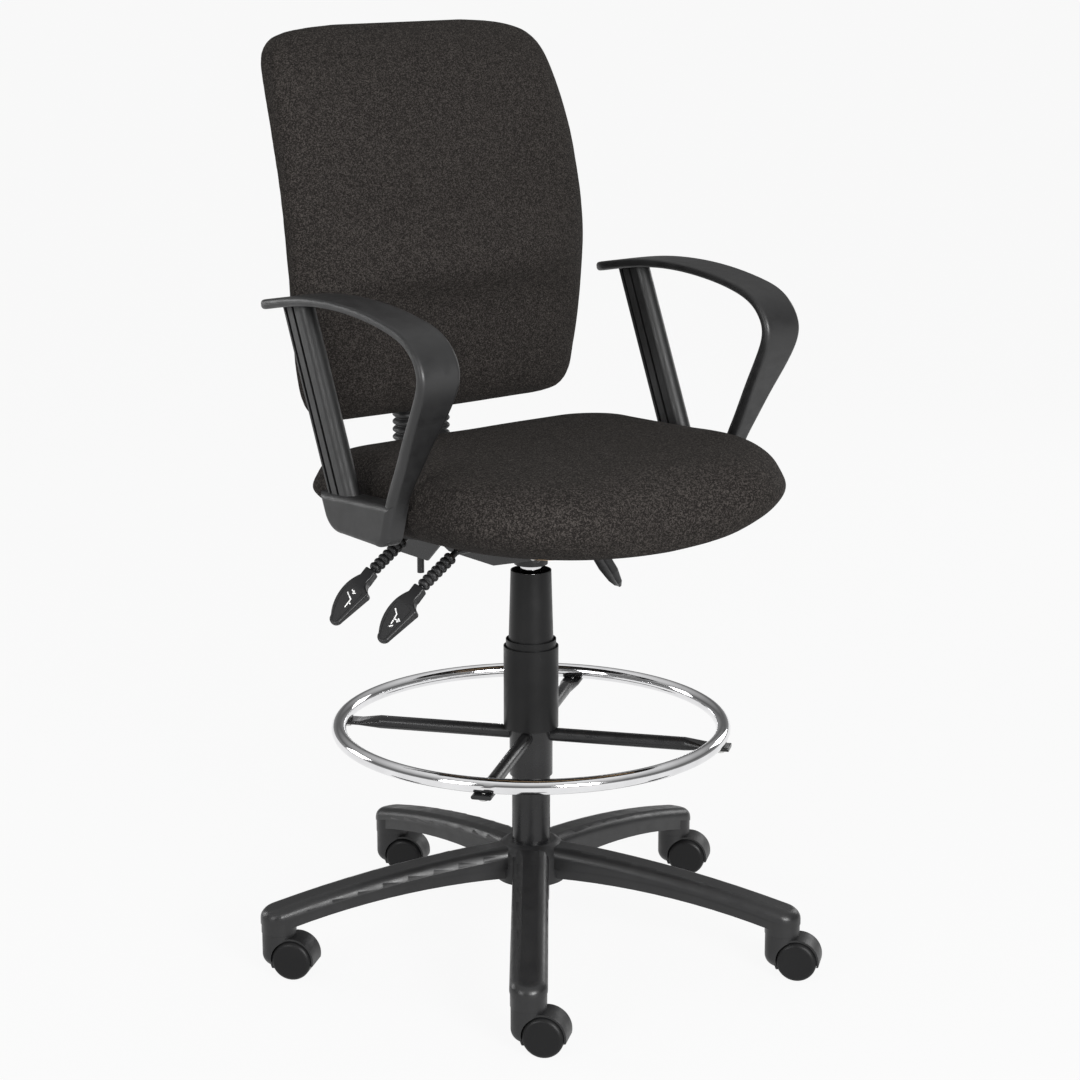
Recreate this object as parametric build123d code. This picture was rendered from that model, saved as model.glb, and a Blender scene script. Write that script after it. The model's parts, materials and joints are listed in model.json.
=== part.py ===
"""Drafting chair on a five-legged caster base, with gas lift, foot ring, loop arms and tilt levers.

Millimetres. The origin is on the floor under the column, +Z is up and the chair faces -Y,
so the sitter's right hand is on the -X side.
"""
from build123d import *
from math import atan2, cos, degrees, exp, hypot, radians, sin
import os

# Fits
RUN_FIT = 0.05            # radial room of a pin or shaft that turns in its hole
SLIDE_FIT = 0.3           # room of a sleeve that slides on what it holds
PRESS_GAP = 0.02          # room left in a pressed or glued joint
FACE_GAP = 0.4            # room between flat faces that pass each other

# Casters
CASTER_COUNT = 5
WHEEL_R = 25.0
WHEEL_WIDTH = 18.6
WHEEL_EDGE_R = 6.0
WHEEL_RECESS = 5.0        # hollow in the wheel's inner face
WHEEL_RIM = 4.0
CASTER_TRAIL = 20.5
CASTER_HEADING = -51.0    # degrees from +X, the way all five casters trail
HOOD_WEB = 6.0
HOOD_WALL = 2.4
HOOD_HALF_W = 17.0
HOOD_BOSS_R = 21.0
HOOD_CUT_Z = 19.0         # height where the hood's tail ends
HOOD_NOSE_Z = 13.0
AXLE_R = 3.0
AXLE_HALF = 16.0
STEM_R = 5.0
STEM_IN_HOOD = 9.5
STEM_IN_LEG = 24.0

# Base
BASE_STEM_RADIUS = 327.0
LEG_FIRST_ANGLE = 231.5  # degrees from +X
LEG_END_UNDER = 56.0
LEG_END_TOP = 90.0
LEG_HALF = 22.5
LEG_ROOT_TOP = 139.0
LEG_ROOT_UNDER = 111.0
LEG_TIP_UNDER = 75.0
LEG_SHOULDER = 13.0
LEG_ARCH = 9.0            # how far the leg's line bows up between hub and end
LEG_TOP_BEND = 1.5        # how late the top line turns down, and the under line
LEG_UNDER_BEND = 2.5
LEG_WALL = 5.0
KEEL_STEP = 4.0           # the keel stands this far in from the leg's side
KEEL_DROP = 14.0
BOSS_STEP = 0.8           # the boss for the caster's stem stands this far in from the leg's end
RIB_THICK = 3.0
RIB_RADII = (110.0, 165.0, 220.0, 275.0)
HUB_TOP = 141.5
HUB_UNDER = 92.0
HUB_R = 44.0
HUB_NECK_R = 31.0
HUB_SHOULDER_Z = 118.0

# Column and gas lift
COLUMN_R = 24.0
COLUMN_WALL = 2.0
COLUMN_FOOT_R = 23.0
COLUMN_FOOT_Z = 60.0
COLUMN_TOP = 380.0
COLUMN_PLATE = 4.0
BUSH_LENGTH = 80.0
BUSH_FLANGE = 4.0
CYLINDER_R = 14.0
CYLINDER_WALL = 1.6
CYLINDER_FOOT = 250.0
CYLINDER_TOP = 530.0
CYLINDER_CAP = 8.0
CYLINDER_HEAD = 34.0
ROD_R = 5.0
ROD_TOP = 384.0
PISTON_H = 14.0
BEARING_R = 15.0
BEARING_H = 6.0
ROD_FOOT_R = 7.5
ROD_FOOT_H = 3.0
ROD_COLLAR_R = 9.0
ROD_COLLAR_H = 5.0
BUTTON_R = 4.0
BUTTON_LENGTH = 18.0
BUTTON_PROUD = 10.0

# Telescopic cover
COVER_WALL = 1.4
COVER_FOOT_Z = 290.5
COVER_BOTTOM_TOP = 395.0
COVER_BOTTOM_R = 34.25
COVER_MIDDLE_TOP = 404.0
COVER_MIDDLE_LENGTH = 92.0
COVER_MIDDLE_R = 31.35
COVER_TOP_TOP = 492.0
COVER_TOP_LENGTH = 147.0
COVER_TOP_R_HIGH = 25.3
COVER_TOP_R_LOW = 29.6
COVER_LIP = 2.0
COVER_LIP_DROP = 6.0

# Foot ring
RING_R = 240.0
RING_TUBE_R = 9.25
RING_WALL = 1.5
RING_Z = 292.0
RING_JOINT = 0.08         # degrees left open where the tube's ends meet
SPOKE_COUNT = 4
SPOKE_FIRST_ANGLE = 38.65
SPOKE_R = 8.4
SPOKE_WALL = 1.5
SPOKE_Z = 281.0
SPOKE_FLAT_W = 25.0
SPOKE_FLAT_T = 5.0
SPOKE_TAPER = 26.0
SPOKE_FLAT_REACH = 12.0   # flat end beyond the ring's centre line
SPOKE_FLAT_INNER = 18.0
RING_HUB_R = 27.0
RING_HUB_FOOT = 228.0
RING_HUB_TOP = 290.0
BOLT_R = 3.0
BOLT_HEAD_R = 6.0
BOLT_HEAD_H = 4.0
KNOB_ANGLE = 51.85
KNOB_Z = 250.0
KNOB_R = 16.0
KNOB_LENGTH = 18.0
KNOB_STEM_R = 4.0
KNOB_NECK = 6.0
KNOB_LOBES = 6
KNOB_LOBE_R = 4.5

# Tilt mechanism
HOUSING_HALF_W = 58.0
HOUSING_WALL = 3.0
HOUSING_FRONT = -100.0
HOUSING_REAR = 122.0
HOUSING_UNDER = 506.0
HOUSING_RIM = 546.0
HOUSING_NOSE = 28.0       # rise of the floor towards the front end, and over what length
HOUSING_NOSE_RUN = 100.0
HOUSING_TAIL = 12.0
HOUSING_TAIL_RUN = 30.0
SOCKET_R = 21.0
SOCKET_UNDER = 500.0
SOCKET_TOP = 527.0
TILT_PIN_Y = -85.0
TILT_PIN_Z = 538.0
TILT_PIN_R = 5.0
RECLINE_PIN_Y = 105.0
RECLINE_PIN_Z = 528.0
RECLINE_PIN_R = 6.0
PIN_HEAD = 2.5
EAR_THICK = 3.0
EAR_R = 15.0
TILT_EAR_R = 11.0
SPRING_WIRE = 3.0         # flat wire, along the coil and across it
SPRING_WIRE_DEEP = 4.0
SPRING_COIL_R = 9.5
SPRING_TURNS = 6
SPRING_PITCH = 5.0

# Levers
LEVER_PIVOT_X = 40.0
LEVER_PIVOT_Z = 545.0
LEVER_PIN_R = 3.0
LEVER_PIN_HALF = 9.0
LEVER_ROD_R = 4.0
CHEEK_THICK = 3.0
CHEEK_IN = 5.5
CHEEK_HALF = 11.0
RECLINE_LEVER_Y = 60.0
TILT_LEVER_Y = -40.0
LEVER_BEND_X = 143.0
LEVER_KNUCKLE = 0.6       # how far the rod's bend stands proud
SLEEVE_END_X = 196.0
SLEEVE_END_Z = 509.0
SLEEVE_R = 8.0
SLEEVE_ROOT_R = 5.6
SLEEVE_RIBS = 7
SLEEVE_PITCH = 7.6
SLEEVE_GAP = 2.2          # between the sleeve's last rib and the paddle
PADDLE_TIP_X = 255.0
PADDLE_TIP_Z = 453.0
PADDLE_INSERT = 22.0      # how far the rod runs into the paddle
PADDLE_NECK_HALF = 7.5
PADDLE_COLLAR = 12.0      # length of the straight neck
PADDLE_HOOK_U = 27.0      # how far along the paddle its finger hook stands out
PADDLE_HOOK_R = 6.0
PADDLE_HALF = 16.5
PADDLE_DEPTH = 16.0
PADDLE_TIP_R = 8.0
PADDLE_TIP_DEPTH = 7.0
PADDLE_EDGE_R = 2.2
PADDLE_TURN = 30.0        # how far the face is turned to the front
LABEL_INSET = 5.0         # from the paddle's edge to the field for its symbol
LABEL_BOW = 4.0
LABEL_GROOVE = 0.8
LABEL_DEPTH = 0.6
BLADE_Y = 0.0
BLADE_ROOT_X = 76.0
BLADE_TIP_X = 140.0
BLADE_TIP_Z = 449.0
BLADE_SCOOP_R = 18.0
BLADE_SKIN = 1.5
BLADE_SCOOP_START = 0.35
FINGER_REACH = 36.0       # from the blade lever's pivot to the end over the release button

# Seat
SEAT_HALF_W = 237.5
SEAT_FRONT = -290.0
SEAT_REAR = 187.0
SEAT_FRONT_R = 138.0
SEAT_REAR_R = 90.0
SEAT_CORNER_MIN = 20.0
SEAT_UNDER = 563.0
BOARD_THICK = 12.0
SEAT_BOARD_HALF_W = 143.0
SEAT_BOARD_FRONT = -205.0
SEAT_BOARD_REAR = 120.0
SEAT_BOARD_R = 40.0
PLATE_THICK = 3.0
PLATE_HALF_W = 95.0
PLATE_FRONT = -150.0
PLATE_REAR = 100.0
PLATE_BOLT_X = 75.0
PLATE_BOLT_Y = (-125.0, 78.0)
# height over the underside, then how far in the cushion stands at sides, front and rear
SEAT_LAYERS = (
    (0.0, 90.0, 45.0, 53.0),
    (7.0, 50.0, 28.0, 34.0),
    (17.0, 22.0, 14.0, 18.0),
    (30.0, 7.0, 4.0, 7.0),
    (45.0, 0.0, 0.0, 0.0),
    (60.0, 6.0, 8.0, 6.0),
    (73.0, 17.0, 24.0, 16.0),
    (83.0, 36.0, 51.0, 34.0),
    (88.5, 66.0, 90.0, 62.0),
    (91.0, 108.0, 140.0, 104.0),
    (92.2, 155.0, 187.0, 150.0),
    (92.6, 200.0, 215.0, 195.0),
)

# Arms
ARM_X = 258.0
POST_HALF_X = 11.0
POST_TOP_Y = 107.0
POST_TOP_Z = 850.0
POST_FOOT_Y = 6.0
POST_FOOT_Z = 612.5
POST_SLAB = 43.0
GROOVE_W = 4.5
GROOVE_DEPTH = 4.0
GROOVE_PITCH = 14.5
SHOE_IN = 11.0
SHOE_OUT = 16.0
SHOE_EDGE_R = 8.0
TONGUE_HALF_Y = 29.0
TONGUE_Y = 8.0
TONGUE_THICK = 9.0
TONGUE_END_X = 112.0
ARM_BOLT_X = 130.0
ARM_BOLT_Y = (-8.0, 24.0)
# Y and Z of the band's middle line, its width along X and its thickness
ARM_BAND = (
    (172.0, 827.0, 27.0, 10.0),
    (161.0, 829.0, 45.0, 11.6),
    (134.0, 834.0, 53.0, 11.8),
    (80.0, 842.6, 54.0, 11.0),
    (20.0, 846.5, 54.0, 10.0),
    (-50.0, 843.0, 54.0, 10.4),
    (-105.0, 834.0, 55.0, 11.0),
    (-146.0, 817.0, 56.0, 12.0),
    (-164.0, 789.0, 56.0, 13.0),
    (-154.0, 755.0, 52.0, 14.0),
    (-128.0, 711.0, 42.0, 15.0),
    (-103.0, 667.0, 32.0, 16.0),
    (-82.0, 627.0, 27.0, 16.5),
    (-68.0, 600.0, 26.0, 17.0),
)

# Back
BACK_WAIST_Z = 860.0      # height where the back stands furthest forward
BACK_WAIST_Y = 182.0
BACK_LEAN = 0.00102       # how fast the line leans back above the waist
BACK_TUCK = 0.00021       # and below it
BACK_BULGE = 17.0         # lumbar roll
BACK_BULGE_Z = 864.0
BACK_BULGE_RISE = 40.0    # how far the roll reaches up and down
BACK_BULGE_FALL = 29.0
BACK_CREASE = 4.5         # soft fold over the roll
BACK_CREASE_Z = 922.0
BACK_CREASE_REACH = 22.0
PAD_FRONT = 25.0
PAD_EDGE = 17.0
PAD_TUCK = 0.4            # share of the thickness that the front edge is drawn in, and the rear edge
PAD_TURN = 0.12
PAD_REAR = 15.0
PAD_REAR_RISE = 26.0      # how much thicker the cushion's rear gets from the waist to its top
BACK_BOARD_THICK = 9.0
BOARD_GAP = 1.2           # room between the cushion's rear and the board
BACK_BOARD_INSET = 24.0
BACK_BOARD_LOW = 690.0
BACK_BOARD_HIGH = 1108.0
SHELL_DEPTH = 40.0
SHELL_TAPER = 16.0        # how much shallower the shell is at its top
SHELL_WALL = 3.0
SHELL_INSET = 20.0
SHELL_LOW = 680.0
SHELL_HIGH = 1118.0
# height, half width, and the share of the full thickness that the cushion has there
BACK_LAYERS = (
    (664.0, 120.0, 0.15),
    (668.0, 156.0, 0.42),
    (676.0, 177.0, 0.68),
    (690.0, 191.0, 0.88),
    (712.0, 201.0, 1.0),
    (770.0, 212.0, 1.0),
    (800.0, 215.2, 1.0),
    (822.0, 217.0, 1.0),
    (842.0, 218.3, 1.0),
    (860.0, 219.0, 1.0),
    (878.0, 219.5, 1.0),
    (898.0, 219.9, 1.0),
    (914.0, 220.0, 1.0),
    (932.0, 219.0, 1.0),
    (960.0, 217.3, 1.0),
    (1010.0, 213.0, 1.0),
    (1060.0, 206.5, 1.0),
    (1100.0, 199.0, 0.97),
    (1121.0, 189.0, 0.82),
    (1135.0, 171.0, 0.6),
    (1143.0, 142.0, 0.36),
    (1147.0, 98.0, 0.15),
)

# Back support
UPRIGHT_Y = 229.0
UPRIGHT_HALF_W = 25.0
UPRIGHT_THICK = 6.0
UPRIGHT_LOW = 496.0
UPRIGHT_HIGH = 915.0
BRACKET_WEB = 4.0
BRACKET_UNDER = 486.0
BRACKET_TOP = 560.0
BRACKET_RIDGE = 536.0
BRACKET_ROUND = 20.0
STUB_Y = 154.0
STUB_R = 4.5
STUB_LENGTH = 20.0
BOOT_HALF_W = 36.0
BOOT_HALF_D = 17.0
BOOT_ROOT = 4.0
BOOT_LOW = 572.0
BOOT_RIB_LOW = 600.0
BOOT_RIBS = 9
BOOT_PITCH = 10.0
BOOT_HIGH = 752.0
BOOT_BORE_GAP = 1.0
BOOT_CORNER = 13.0
SLIDER_LOW = 770.0
SLIDER_HIGH = 850.0
SLIDER_HALF_W = 38.0
SLIDER_WALL = 5.0
SLIDER_BOLT_X = 32.0
SLIDER_BOLT_Z = (785.0, 835.0)


def cylinder_z(radius, low, high):
    """Upright cylinder on the column's axis."""
    return Pos(0, 0, low) * Cylinder(radius, high - low, align=(Align.CENTER, Align.CENTER, Align.MIN))


def tube_z(outer, inner, low, high):
    return cylinder_z(outer, low, high) - cylinder_z(inner, low - 1, high + 1)


def rod(radius, start, end):
    """Straight round bar between two points."""
    run = Vector(*end) - Vector(*start)
    bar = Cylinder(radius, run.length, align=(Align.CENTER, Align.CENTER, Align.MIN))
    return Plane(origin=start, z_dir=run) * bar


def block(x, y, z):
    """Box between a low and a high value on each axis."""
    size = [high - low for low, high in (x, y, z)]
    middle = [(high + low) / 2 for low, high in (x, y, z)]
    return Pos(*middle) * Box(*size)


def quarter(centre, radius, start_deg):
    """Quarter arc round a point, from one angle to the angle 90 degrees further on."""
    points = []
    for turn in (0, 45, 90):
        angle = radians(start_deg + turn)
        points.append((centre[0] + radius * cos(angle), centre[1] + radius * sin(angle)))
    return ThreePointArc(*points)


def outline(*pieces):
    """Face from edges and corner points; a point closes the gap to the next piece with a line."""
    ends = []
    for piece in pieces:
        if isinstance(piece, tuple):
            ends.append((piece, piece, None))
        else:
            ends.append((piece @ 0, piece @ 1, piece))
    edges = []
    for this, following in zip(ends, ends[1:] + ends[:1]):
        if this[2] is not None:
            edges.append(this[2])
        if (Vector(this[1]) - Vector(following[0])).length > 1e-6:
            edges.append(Line(this[1], following[0]))
    return make_face(edges)


def round_rect(left, right, low, high, *radii):
    """Rectangle with rounded corners, counter-clockwise from the low left one."""
    corners = [(left, low, 1, 1, 180), (right, low, -1, 1, 270), (right, high, -1, -1, 0), (left, high, 1, -1, 90)]
    if len(radii) == 1:
        radii = radii * 4
    arcs = []
    for (x, y, to_x, to_y, start), radius in zip(corners, radii):
        arcs.append(quarter((x + to_x * radius, y + to_y * radius), radius, start))
    return outline(*arcs)


def side_prism(face, low_x, high_x):
    """Push a face drawn in Y and Z along X."""
    placed = Plane(origin=(low_x, 0, 0), x_dir=(0, 1, 0), z_dir=(1, 0, 0)) * face
    return extrude(placed, high_x - low_x)


def across(face, y):
    """Stand a face drawn in X and Z on the plane at that Y."""
    return Plane(origin=(0, y, 0), x_dir=(1, 0, 0), z_dir=(0, -1, 0)) * face


def mirrored(shape):
    return mirror(shape, about=Plane.YZ)


# Casters, drawn with the stem on the Z axis and the wheel trailing along +X

def caster_wheel(side):
    inner = HOOD_WEB / 2 + FACE_GAP
    outer = inner + WHEEL_WIDTH
    recess = inner + WHEEL_RECESS
    bore = AXLE_R + RUN_FIT
    edge = WHEEL_R - WHEEL_EDGE_R
    hub = bore + WHEEL_RIM
    profile = outline(
        (bore, inner), (hub, inner), (hub, recess), (WHEEL_R - WHEEL_RIM, recess), (WHEEL_R - WHEEL_RIM, inner),
        (WHEEL_R, inner), quarter((edge, outer - WHEEL_EDGE_R), WHEEL_EDGE_R, 0), (0, outer),
        (0, AXLE_HALF + FACE_GAP), (bore, AXLE_HALF + FACE_GAP),
    )
    spun = revolve(Plane.XZ * profile, Axis.Z)
    return Pos(CASTER_TRAIL, 0, WHEEL_R) * Rot(-90 * side, 0, 0) * spun


def caster_hood():
    room = WHEEL_R + FACE_GAP
    drum_r = room + HOOD_WALL
    top = LEG_END_UNDER - FACE_GAP
    axis = Pos(CASTER_TRAIL, 0, WHEEL_R) * Rot(90, 0, 0)
    boss = cylinder_z(HOOD_BOSS_R, HOOD_NOSE_Z, top)
    boss = fillet(boss.edges().group_by(Axis.Z)[0], HOOD_BOSS_R - AXLE_R * 2)
    hood = boss + axis * Cylinder(drum_r, 2 * HOOD_HALF_W)
    tail = outline((CASTER_TRAIL, HOOD_NOSE_Z), (CASTER_TRAIL + drum_r * 2, HOOD_CUT_Z + 3 * HOOD_WALL),
                   (CASTER_TRAIL + drum_r * 2, -drum_r), (-drum_r, -drum_r), (-drum_r, HOOD_NOSE_Z))
    hood -= extrude(across(tail, 0), drum_r, both=True)
    web = hood & block((-drum_r, drum_r * 2), (-HOOD_WEB / 2, HOOD_WEB / 2), (0, top))
    hood = hood - axis * Cylinder(room, 4 * HOOD_HALF_W) + web
    hood += axis * Cylinder(AXLE_R + HOOD_WALL * 2, HOOD_WEB)
    hood -= axis * Cylinder(AXLE_R + PRESS_GAP, 2 * HOOD_WEB)
    return hood - cylinder_z(STEM_R + PRESS_GAP, top - STEM_IN_HOOD, top + 1)


def caster_pins():
    top = LEG_END_UNDER - FACE_GAP
    stem = cylinder_z(STEM_R, top - STEM_IN_HOOD, LEG_END_UNDER + STEM_IN_LEG)
    stem = chamfer(stem.edges(), STEM_R / 5)
    axle = Pos(CASTER_TRAIL, 0, WHEEL_R) * Rot(90, 0, 0) * Cylinder(AXLE_R, 2 * AXLE_HALF)
    return Compound(children=[stem, axle])


def caster_nodes():
    nodes = {}
    for number in range(CASTER_COUNT):
        angle = radians(LEG_FIRST_ANGLE + 360 / CASTER_COUNT * number)
        spot = Pos(BASE_STEM_RADIUS * cos(angle), BASE_STEM_RADIUS * sin(angle), 0) * Rot(0, 0, CASTER_HEADING)
        name = f"caster_{number + 1}"
        nodes[f"{name}_hood"] = spot * caster_hood()
        nodes[f"{name}_stem_and_axle"] = spot * caster_pins()
        nodes[f"{name}_wheel_a"] = spot * caster_wheel(1)
        nodes[f"{name}_wheel_b"] = spot * caster_wheel(-1)
    return nodes


# Base

def leg_line(radius, root, end, bend):
    """Height on the leg at a distance from the column, bowed up between hub and end."""
    share = radius / BASE_STEM_RADIUS
    return root + (end - root) * share ** bend + LEG_ARCH * share * (1 - share)


def leg_top(radius):
    return leg_line(radius, LEG_ROOT_TOP, LEG_END_TOP, LEG_TOP_BEND)


def leg_under(radius):
    return leg_line(radius, LEG_ROOT_UNDER, LEG_TIP_UNDER, LEG_UNDER_BEND)


def leg_profile(start, end, roof, drop):
    """Side view of the leg between two radii, under its roof and down below its skirt."""
    middle = (start + end) / 2
    top = ThreePointArc(*[(radius, leg_top(radius) - roof) for radius in (start, middle, end)])
    under = ThreePointArc(*[(radius, leg_under(radius) - drop) for radius in (end, middle, start)])
    return across(outline(top, under), 0)


def leg_bar(start, end, half, roof, drop):
    return extrude(leg_profile(start, end, roof, drop), half, both=True)


def leg_shell():
    """Leg's outside: arched bar with a round end and rolled shoulders."""
    end = BASE_STEM_RADIUS + LEG_HALF
    tip = ThreePointArc((BASE_STEM_RADIUS, -LEG_HALF), (end, 0), (BASE_STEM_RADIUS, LEG_HALF))
    plan = outline((0, -LEG_HALF), tip, (0, LEG_HALF))
    leg = leg_bar(HUB_NECK_R, end + 1, LEG_HALF + 1, 0, 0) & extrude(plan, LEG_ROOT_TOP + 1)
    roof = max(leg.faces(), key=lambda face: face.normal_at().Z)
    ridges = [edge for edge in roof.edges() if edge.center().X > HUB_NECK_R + 1]
    return fillet(ridges, LEG_SHOULDER)


def base_leg():
    inner = LEG_HALF - KEEL_STEP - LEG_WALL
    leg = leg_shell()
    leg += leg_bar(HUB_NECK_R, BASE_STEM_RADIUS - LEG_HALF / 2, LEG_HALF - KEEL_STEP, LEG_SHOULDER, KEEL_DROP)
    leg -= leg_bar(HUB_R, BASE_STEM_RADIUS - 1.5 * LEG_HALF, inner, LEG_WALL, 2 * KEEL_DROP)
    for radius in RIB_RADII:
        leg += block((radius, radius + RIB_THICK), (-inner - 1, inner + 1),
                     (leg_under(radius), leg_top(radius) - LEG_WALL / 2))
    boss = cylinder_z(LEG_HALF - BOSS_STEP, LEG_END_UNDER, LEG_END_TOP - LEG_SHOULDER)
    leg += Pos(BASE_STEM_RADIUS, 0, 0) * boss
    socket = cylinder_z(STEM_R + RUN_FIT, LEG_END_UNDER - 1, LEG_END_UNDER + STEM_IN_LEG + 1)
    return leg - Pos(BASE_STEM_RADIUS, 0, 0) * socket


def column_taper(room):
    """Cone of the column's foot, which wedges in the base."""
    return Pos(0, 0, COLUMN_FOOT_Z) * Cone(COLUMN_FOOT_R + room, COLUMN_R + room, HUB_TOP - COLUMN_FOOT_Z,
                                           align=(Align.CENTER, Align.CENTER, Align.MIN))


def base_star():
    neck = HUB_TOP - HUB_SHOULDER_Z
    profile = outline((0, HUB_UNDER), (HUB_R, HUB_UNDER), (HUB_R, HUB_SHOULDER_Z),
                      ThreePointArc((HUB_R, HUB_SHOULDER_Z), (HUB_R - 4, HUB_SHOULDER_Z + neck * 0.72),
                                    (HUB_NECK_R, HUB_TOP)), (0, HUB_TOP))
    star = revolve(Plane.XZ * profile, Axis.Z)
    leg = base_leg()
    for number in range(CASTER_COUNT):
        star += Rot(0, 0, LEG_FIRST_ANGLE + 360 / CASTER_COUNT * number) * leg
    return star - column_taper(PRESS_GAP)


# Column, gas lift and cover

def column_tube():
    tube = column_taper(0) + cylinder_z(COLUMN_R, HUB_TOP, COLUMN_TOP)
    tube -= cylinder_z(COLUMN_R - COLUMN_WALL, COLUMN_FOOT_Z + COLUMN_PLATE + LEG_WALL, COLUMN_TOP + 1)
    tube -= cylinder_z(COLUMN_FOOT_R - COLUMN_WALL, COLUMN_FOOT_Z + COLUMN_PLATE, COLUMN_TOP)
    return tube - cylinder_z(ROD_R + SLIDE_FIT, COLUMN_FOOT_Z - 1, COLUMN_TOP)


def guide_bush():
    bush = cylinder_z(COLUMN_R - COLUMN_WALL - PRESS_GAP, COLUMN_TOP - BUSH_LENGTH, COLUMN_TOP)
    bush += cylinder_z(COLUMN_R, COLUMN_TOP, COLUMN_TOP + BUSH_FLANGE)
    return bush - cylinder_z(CYLINDER_R + RUN_FIT, 0, COLUMN_TOP + BUSH_LENGTH)


def piston_rod():
    plate_top = COLUMN_FOOT_Z + COLUMN_PLATE
    collar = plate_top + FACE_GAP + BEARING_H
    rod_body = cylinder_z(ROD_R, COLUMN_FOOT_Z - FACE_GAP - ROD_FOOT_H, ROD_TOP)
    rod_body += cylinder_z(ROD_FOOT_R, COLUMN_FOOT_Z - FACE_GAP - ROD_FOOT_H, COLUMN_FOOT_Z - FACE_GAP)
    rod_body += cylinder_z(ROD_COLLAR_R, collar, collar + ROD_COLLAR_H)
    return rod_body + cylinder_z(CYLINDER_R - CYLINDER_WALL - SLIDE_FIT, ROD_TOP - PISTON_H, ROD_TOP)


def thrust_bearing():
    low = COLUMN_FOOT_Z + COLUMN_PLATE + FACE_GAP
    ring = tube_z(BEARING_R, ROD_R + PRESS_GAP, low, low + BEARING_H)
    race = tube_z(BEARING_R + 1, BEARING_R - 2, low + BEARING_H / 3, low + BEARING_H * 2 / 3)
    return ring - race


def gas_cylinder():
    body = cylinder_z(CYLINDER_R, CYLINDER_FOOT, CYLINDER_TOP)
    body = chamfer(body.edges().group_by(Axis.Z)[-1], CYLINDER_WALL)
    body -= cylinder_z(CYLINDER_R - CYLINDER_WALL, CYLINDER_FOOT + CYLINDER_CAP, CYLINDER_TOP - CYLINDER_HEAD)
    body -= cylinder_z(ROD_R + SLIDE_FIT, CYLINDER_FOOT - 1, CYLINDER_FOOT + CYLINDER_CAP + 1)
    return body - cylinder_z(BUTTON_R + RUN_FIT, CYLINDER_TOP - CYLINDER_HEAD - 1, CYLINDER_TOP + 1)


def release_button():
    top = CYLINDER_TOP + BUTTON_PROUD
    button = cylinder_z(BUTTON_R, top - BUTTON_LENGTH, top)
    return chamfer(button.edges().group_by(Axis.Z)[-1], BUTTON_R / 4)


def cover_bottom():
    shell = tube_z(COVER_BOTTOM_R, COVER_BOTTOM_R - COVER_WALL, COVER_FOOT_Z, COVER_BOTTOM_TOP)
    return shell + tube_z(COVER_BOTTOM_R - COVER_WALL / 2, COLUMN_R + PRESS_GAP, COVER_FOOT_Z, COVER_FOOT_Z + COVER_LIP)


def cover_middle():
    low = COVER_MIDDLE_TOP - COVER_MIDDLE_LENGTH
    return tube_z(COVER_MIDDLE_R, COVER_MIDDLE_R - COVER_WALL + 0.2, low, COVER_MIDDLE_TOP)


def cover_top():
    low = COVER_TOP_TOP - COVER_TOP_LENGTH
    span = (Align.CENTER, Align.CENTER, Align.MIN)
    shell = Pos(0, 0, low) * Cone(COVER_TOP_R_LOW, COVER_TOP_R_HIGH, COVER_TOP_LENGTH, align=span)
    inner = Cone(COVER_TOP_R_LOW - COVER_WALL, COVER_TOP_R_HIGH - COVER_WALL, COVER_TOP_LENGTH, align=span)
    shell -= Pos(0, 0, low) * inner
    lip_z = COVER_TOP_TOP - COVER_LIP_DROP
    lip = tube_z(COVER_TOP_R_HIGH - COVER_WALL / 2, CYLINDER_R + PRESS_GAP, lip_z - COVER_LIP, lip_z)
    return shell + lip


# Foot ring

def foot_ring_tube():
    """Tube bent into a ring, its ends butted together behind the column."""
    section = Pos(RING_R, RING_Z) * (Circle(RING_TUBE_R) - Circle(RING_TUBE_R - RING_WALL))
    ring = Rot(0, 0, KNOB_ANGLE) * revolve(Plane.XZ * section, Axis.Z, 360 - RING_JOINT)
    hole = rod(BOLT_R + PRESS_GAP, (RING_R, 0, RING_Z - 2 * RING_TUBE_R), (RING_R, 0, RING_Z))
    for number in range(SPOKE_COUNT):
        ring -= Rot(0, 0, SPOKE_FIRST_ANGLE + 360 / SPOKE_COUNT * number) * hole
    return ring


def foot_ring_hub():
    hub = tube_z(RING_HUB_R, COLUMN_R + SLIDE_FIT, RING_HUB_FOOT, RING_HUB_TOP)
    return hub - Rot(0, 0, KNOB_ANGLE) * rod(KNOB_STEM_R + RUN_FIT, (0, 0, KNOB_Z), (2 * RING_HUB_R, 0, KNOB_Z))


def spoke_slice(radius, half_w, half_t, z):
    corner = min(half_w, half_t) - 0.05
    face = round_rect(-half_w, half_w, z - half_t, z + half_t, corner)
    return Plane(origin=(radius, 0, 0), x_dir=(0, 1, 0), z_dir=(1, 0, 0)) * face


def foot_ring_spoke():
    flat_z = RING_Z - RING_TUBE_R - SPOKE_FLAT_T / 2 - PRESS_GAP
    taper_end = RING_R - SPOKE_FLAT_INNER
    taper_start = taper_end - SPOKE_TAPER
    bar = loft([spoke_slice(taper_start, SPOKE_R, SPOKE_R, SPOKE_Z),
                spoke_slice(taper_end, SPOKE_FLAT_W / 2, SPOKE_FLAT_T / 2, flat_z)], ruled=True)
    bar += extrude(spoke_slice(RING_HUB_R - 1, SPOKE_R, SPOKE_R, SPOKE_Z), taper_start - RING_HUB_R + 1)
    bar += extrude(spoke_slice(taper_end, SPOKE_FLAT_W / 2, SPOKE_FLAT_T / 2, flat_z),
                   RING_R + SPOKE_FLAT_REACH - taper_end)
    bar -= rod(SPOKE_R - SPOKE_WALL, (0, 0, SPOKE_Z), (taper_start, 0, SPOKE_Z))
    bar -= cylinder_z(RING_HUB_R + PRESS_GAP, RING_HUB_FOOT, RING_HUB_TOP + SPOKE_R)
    return bar - rod(BOLT_R + PRESS_GAP, (RING_R, 0, flat_z - SPOKE_FLAT_T), (RING_R, 0, RING_Z))


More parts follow.
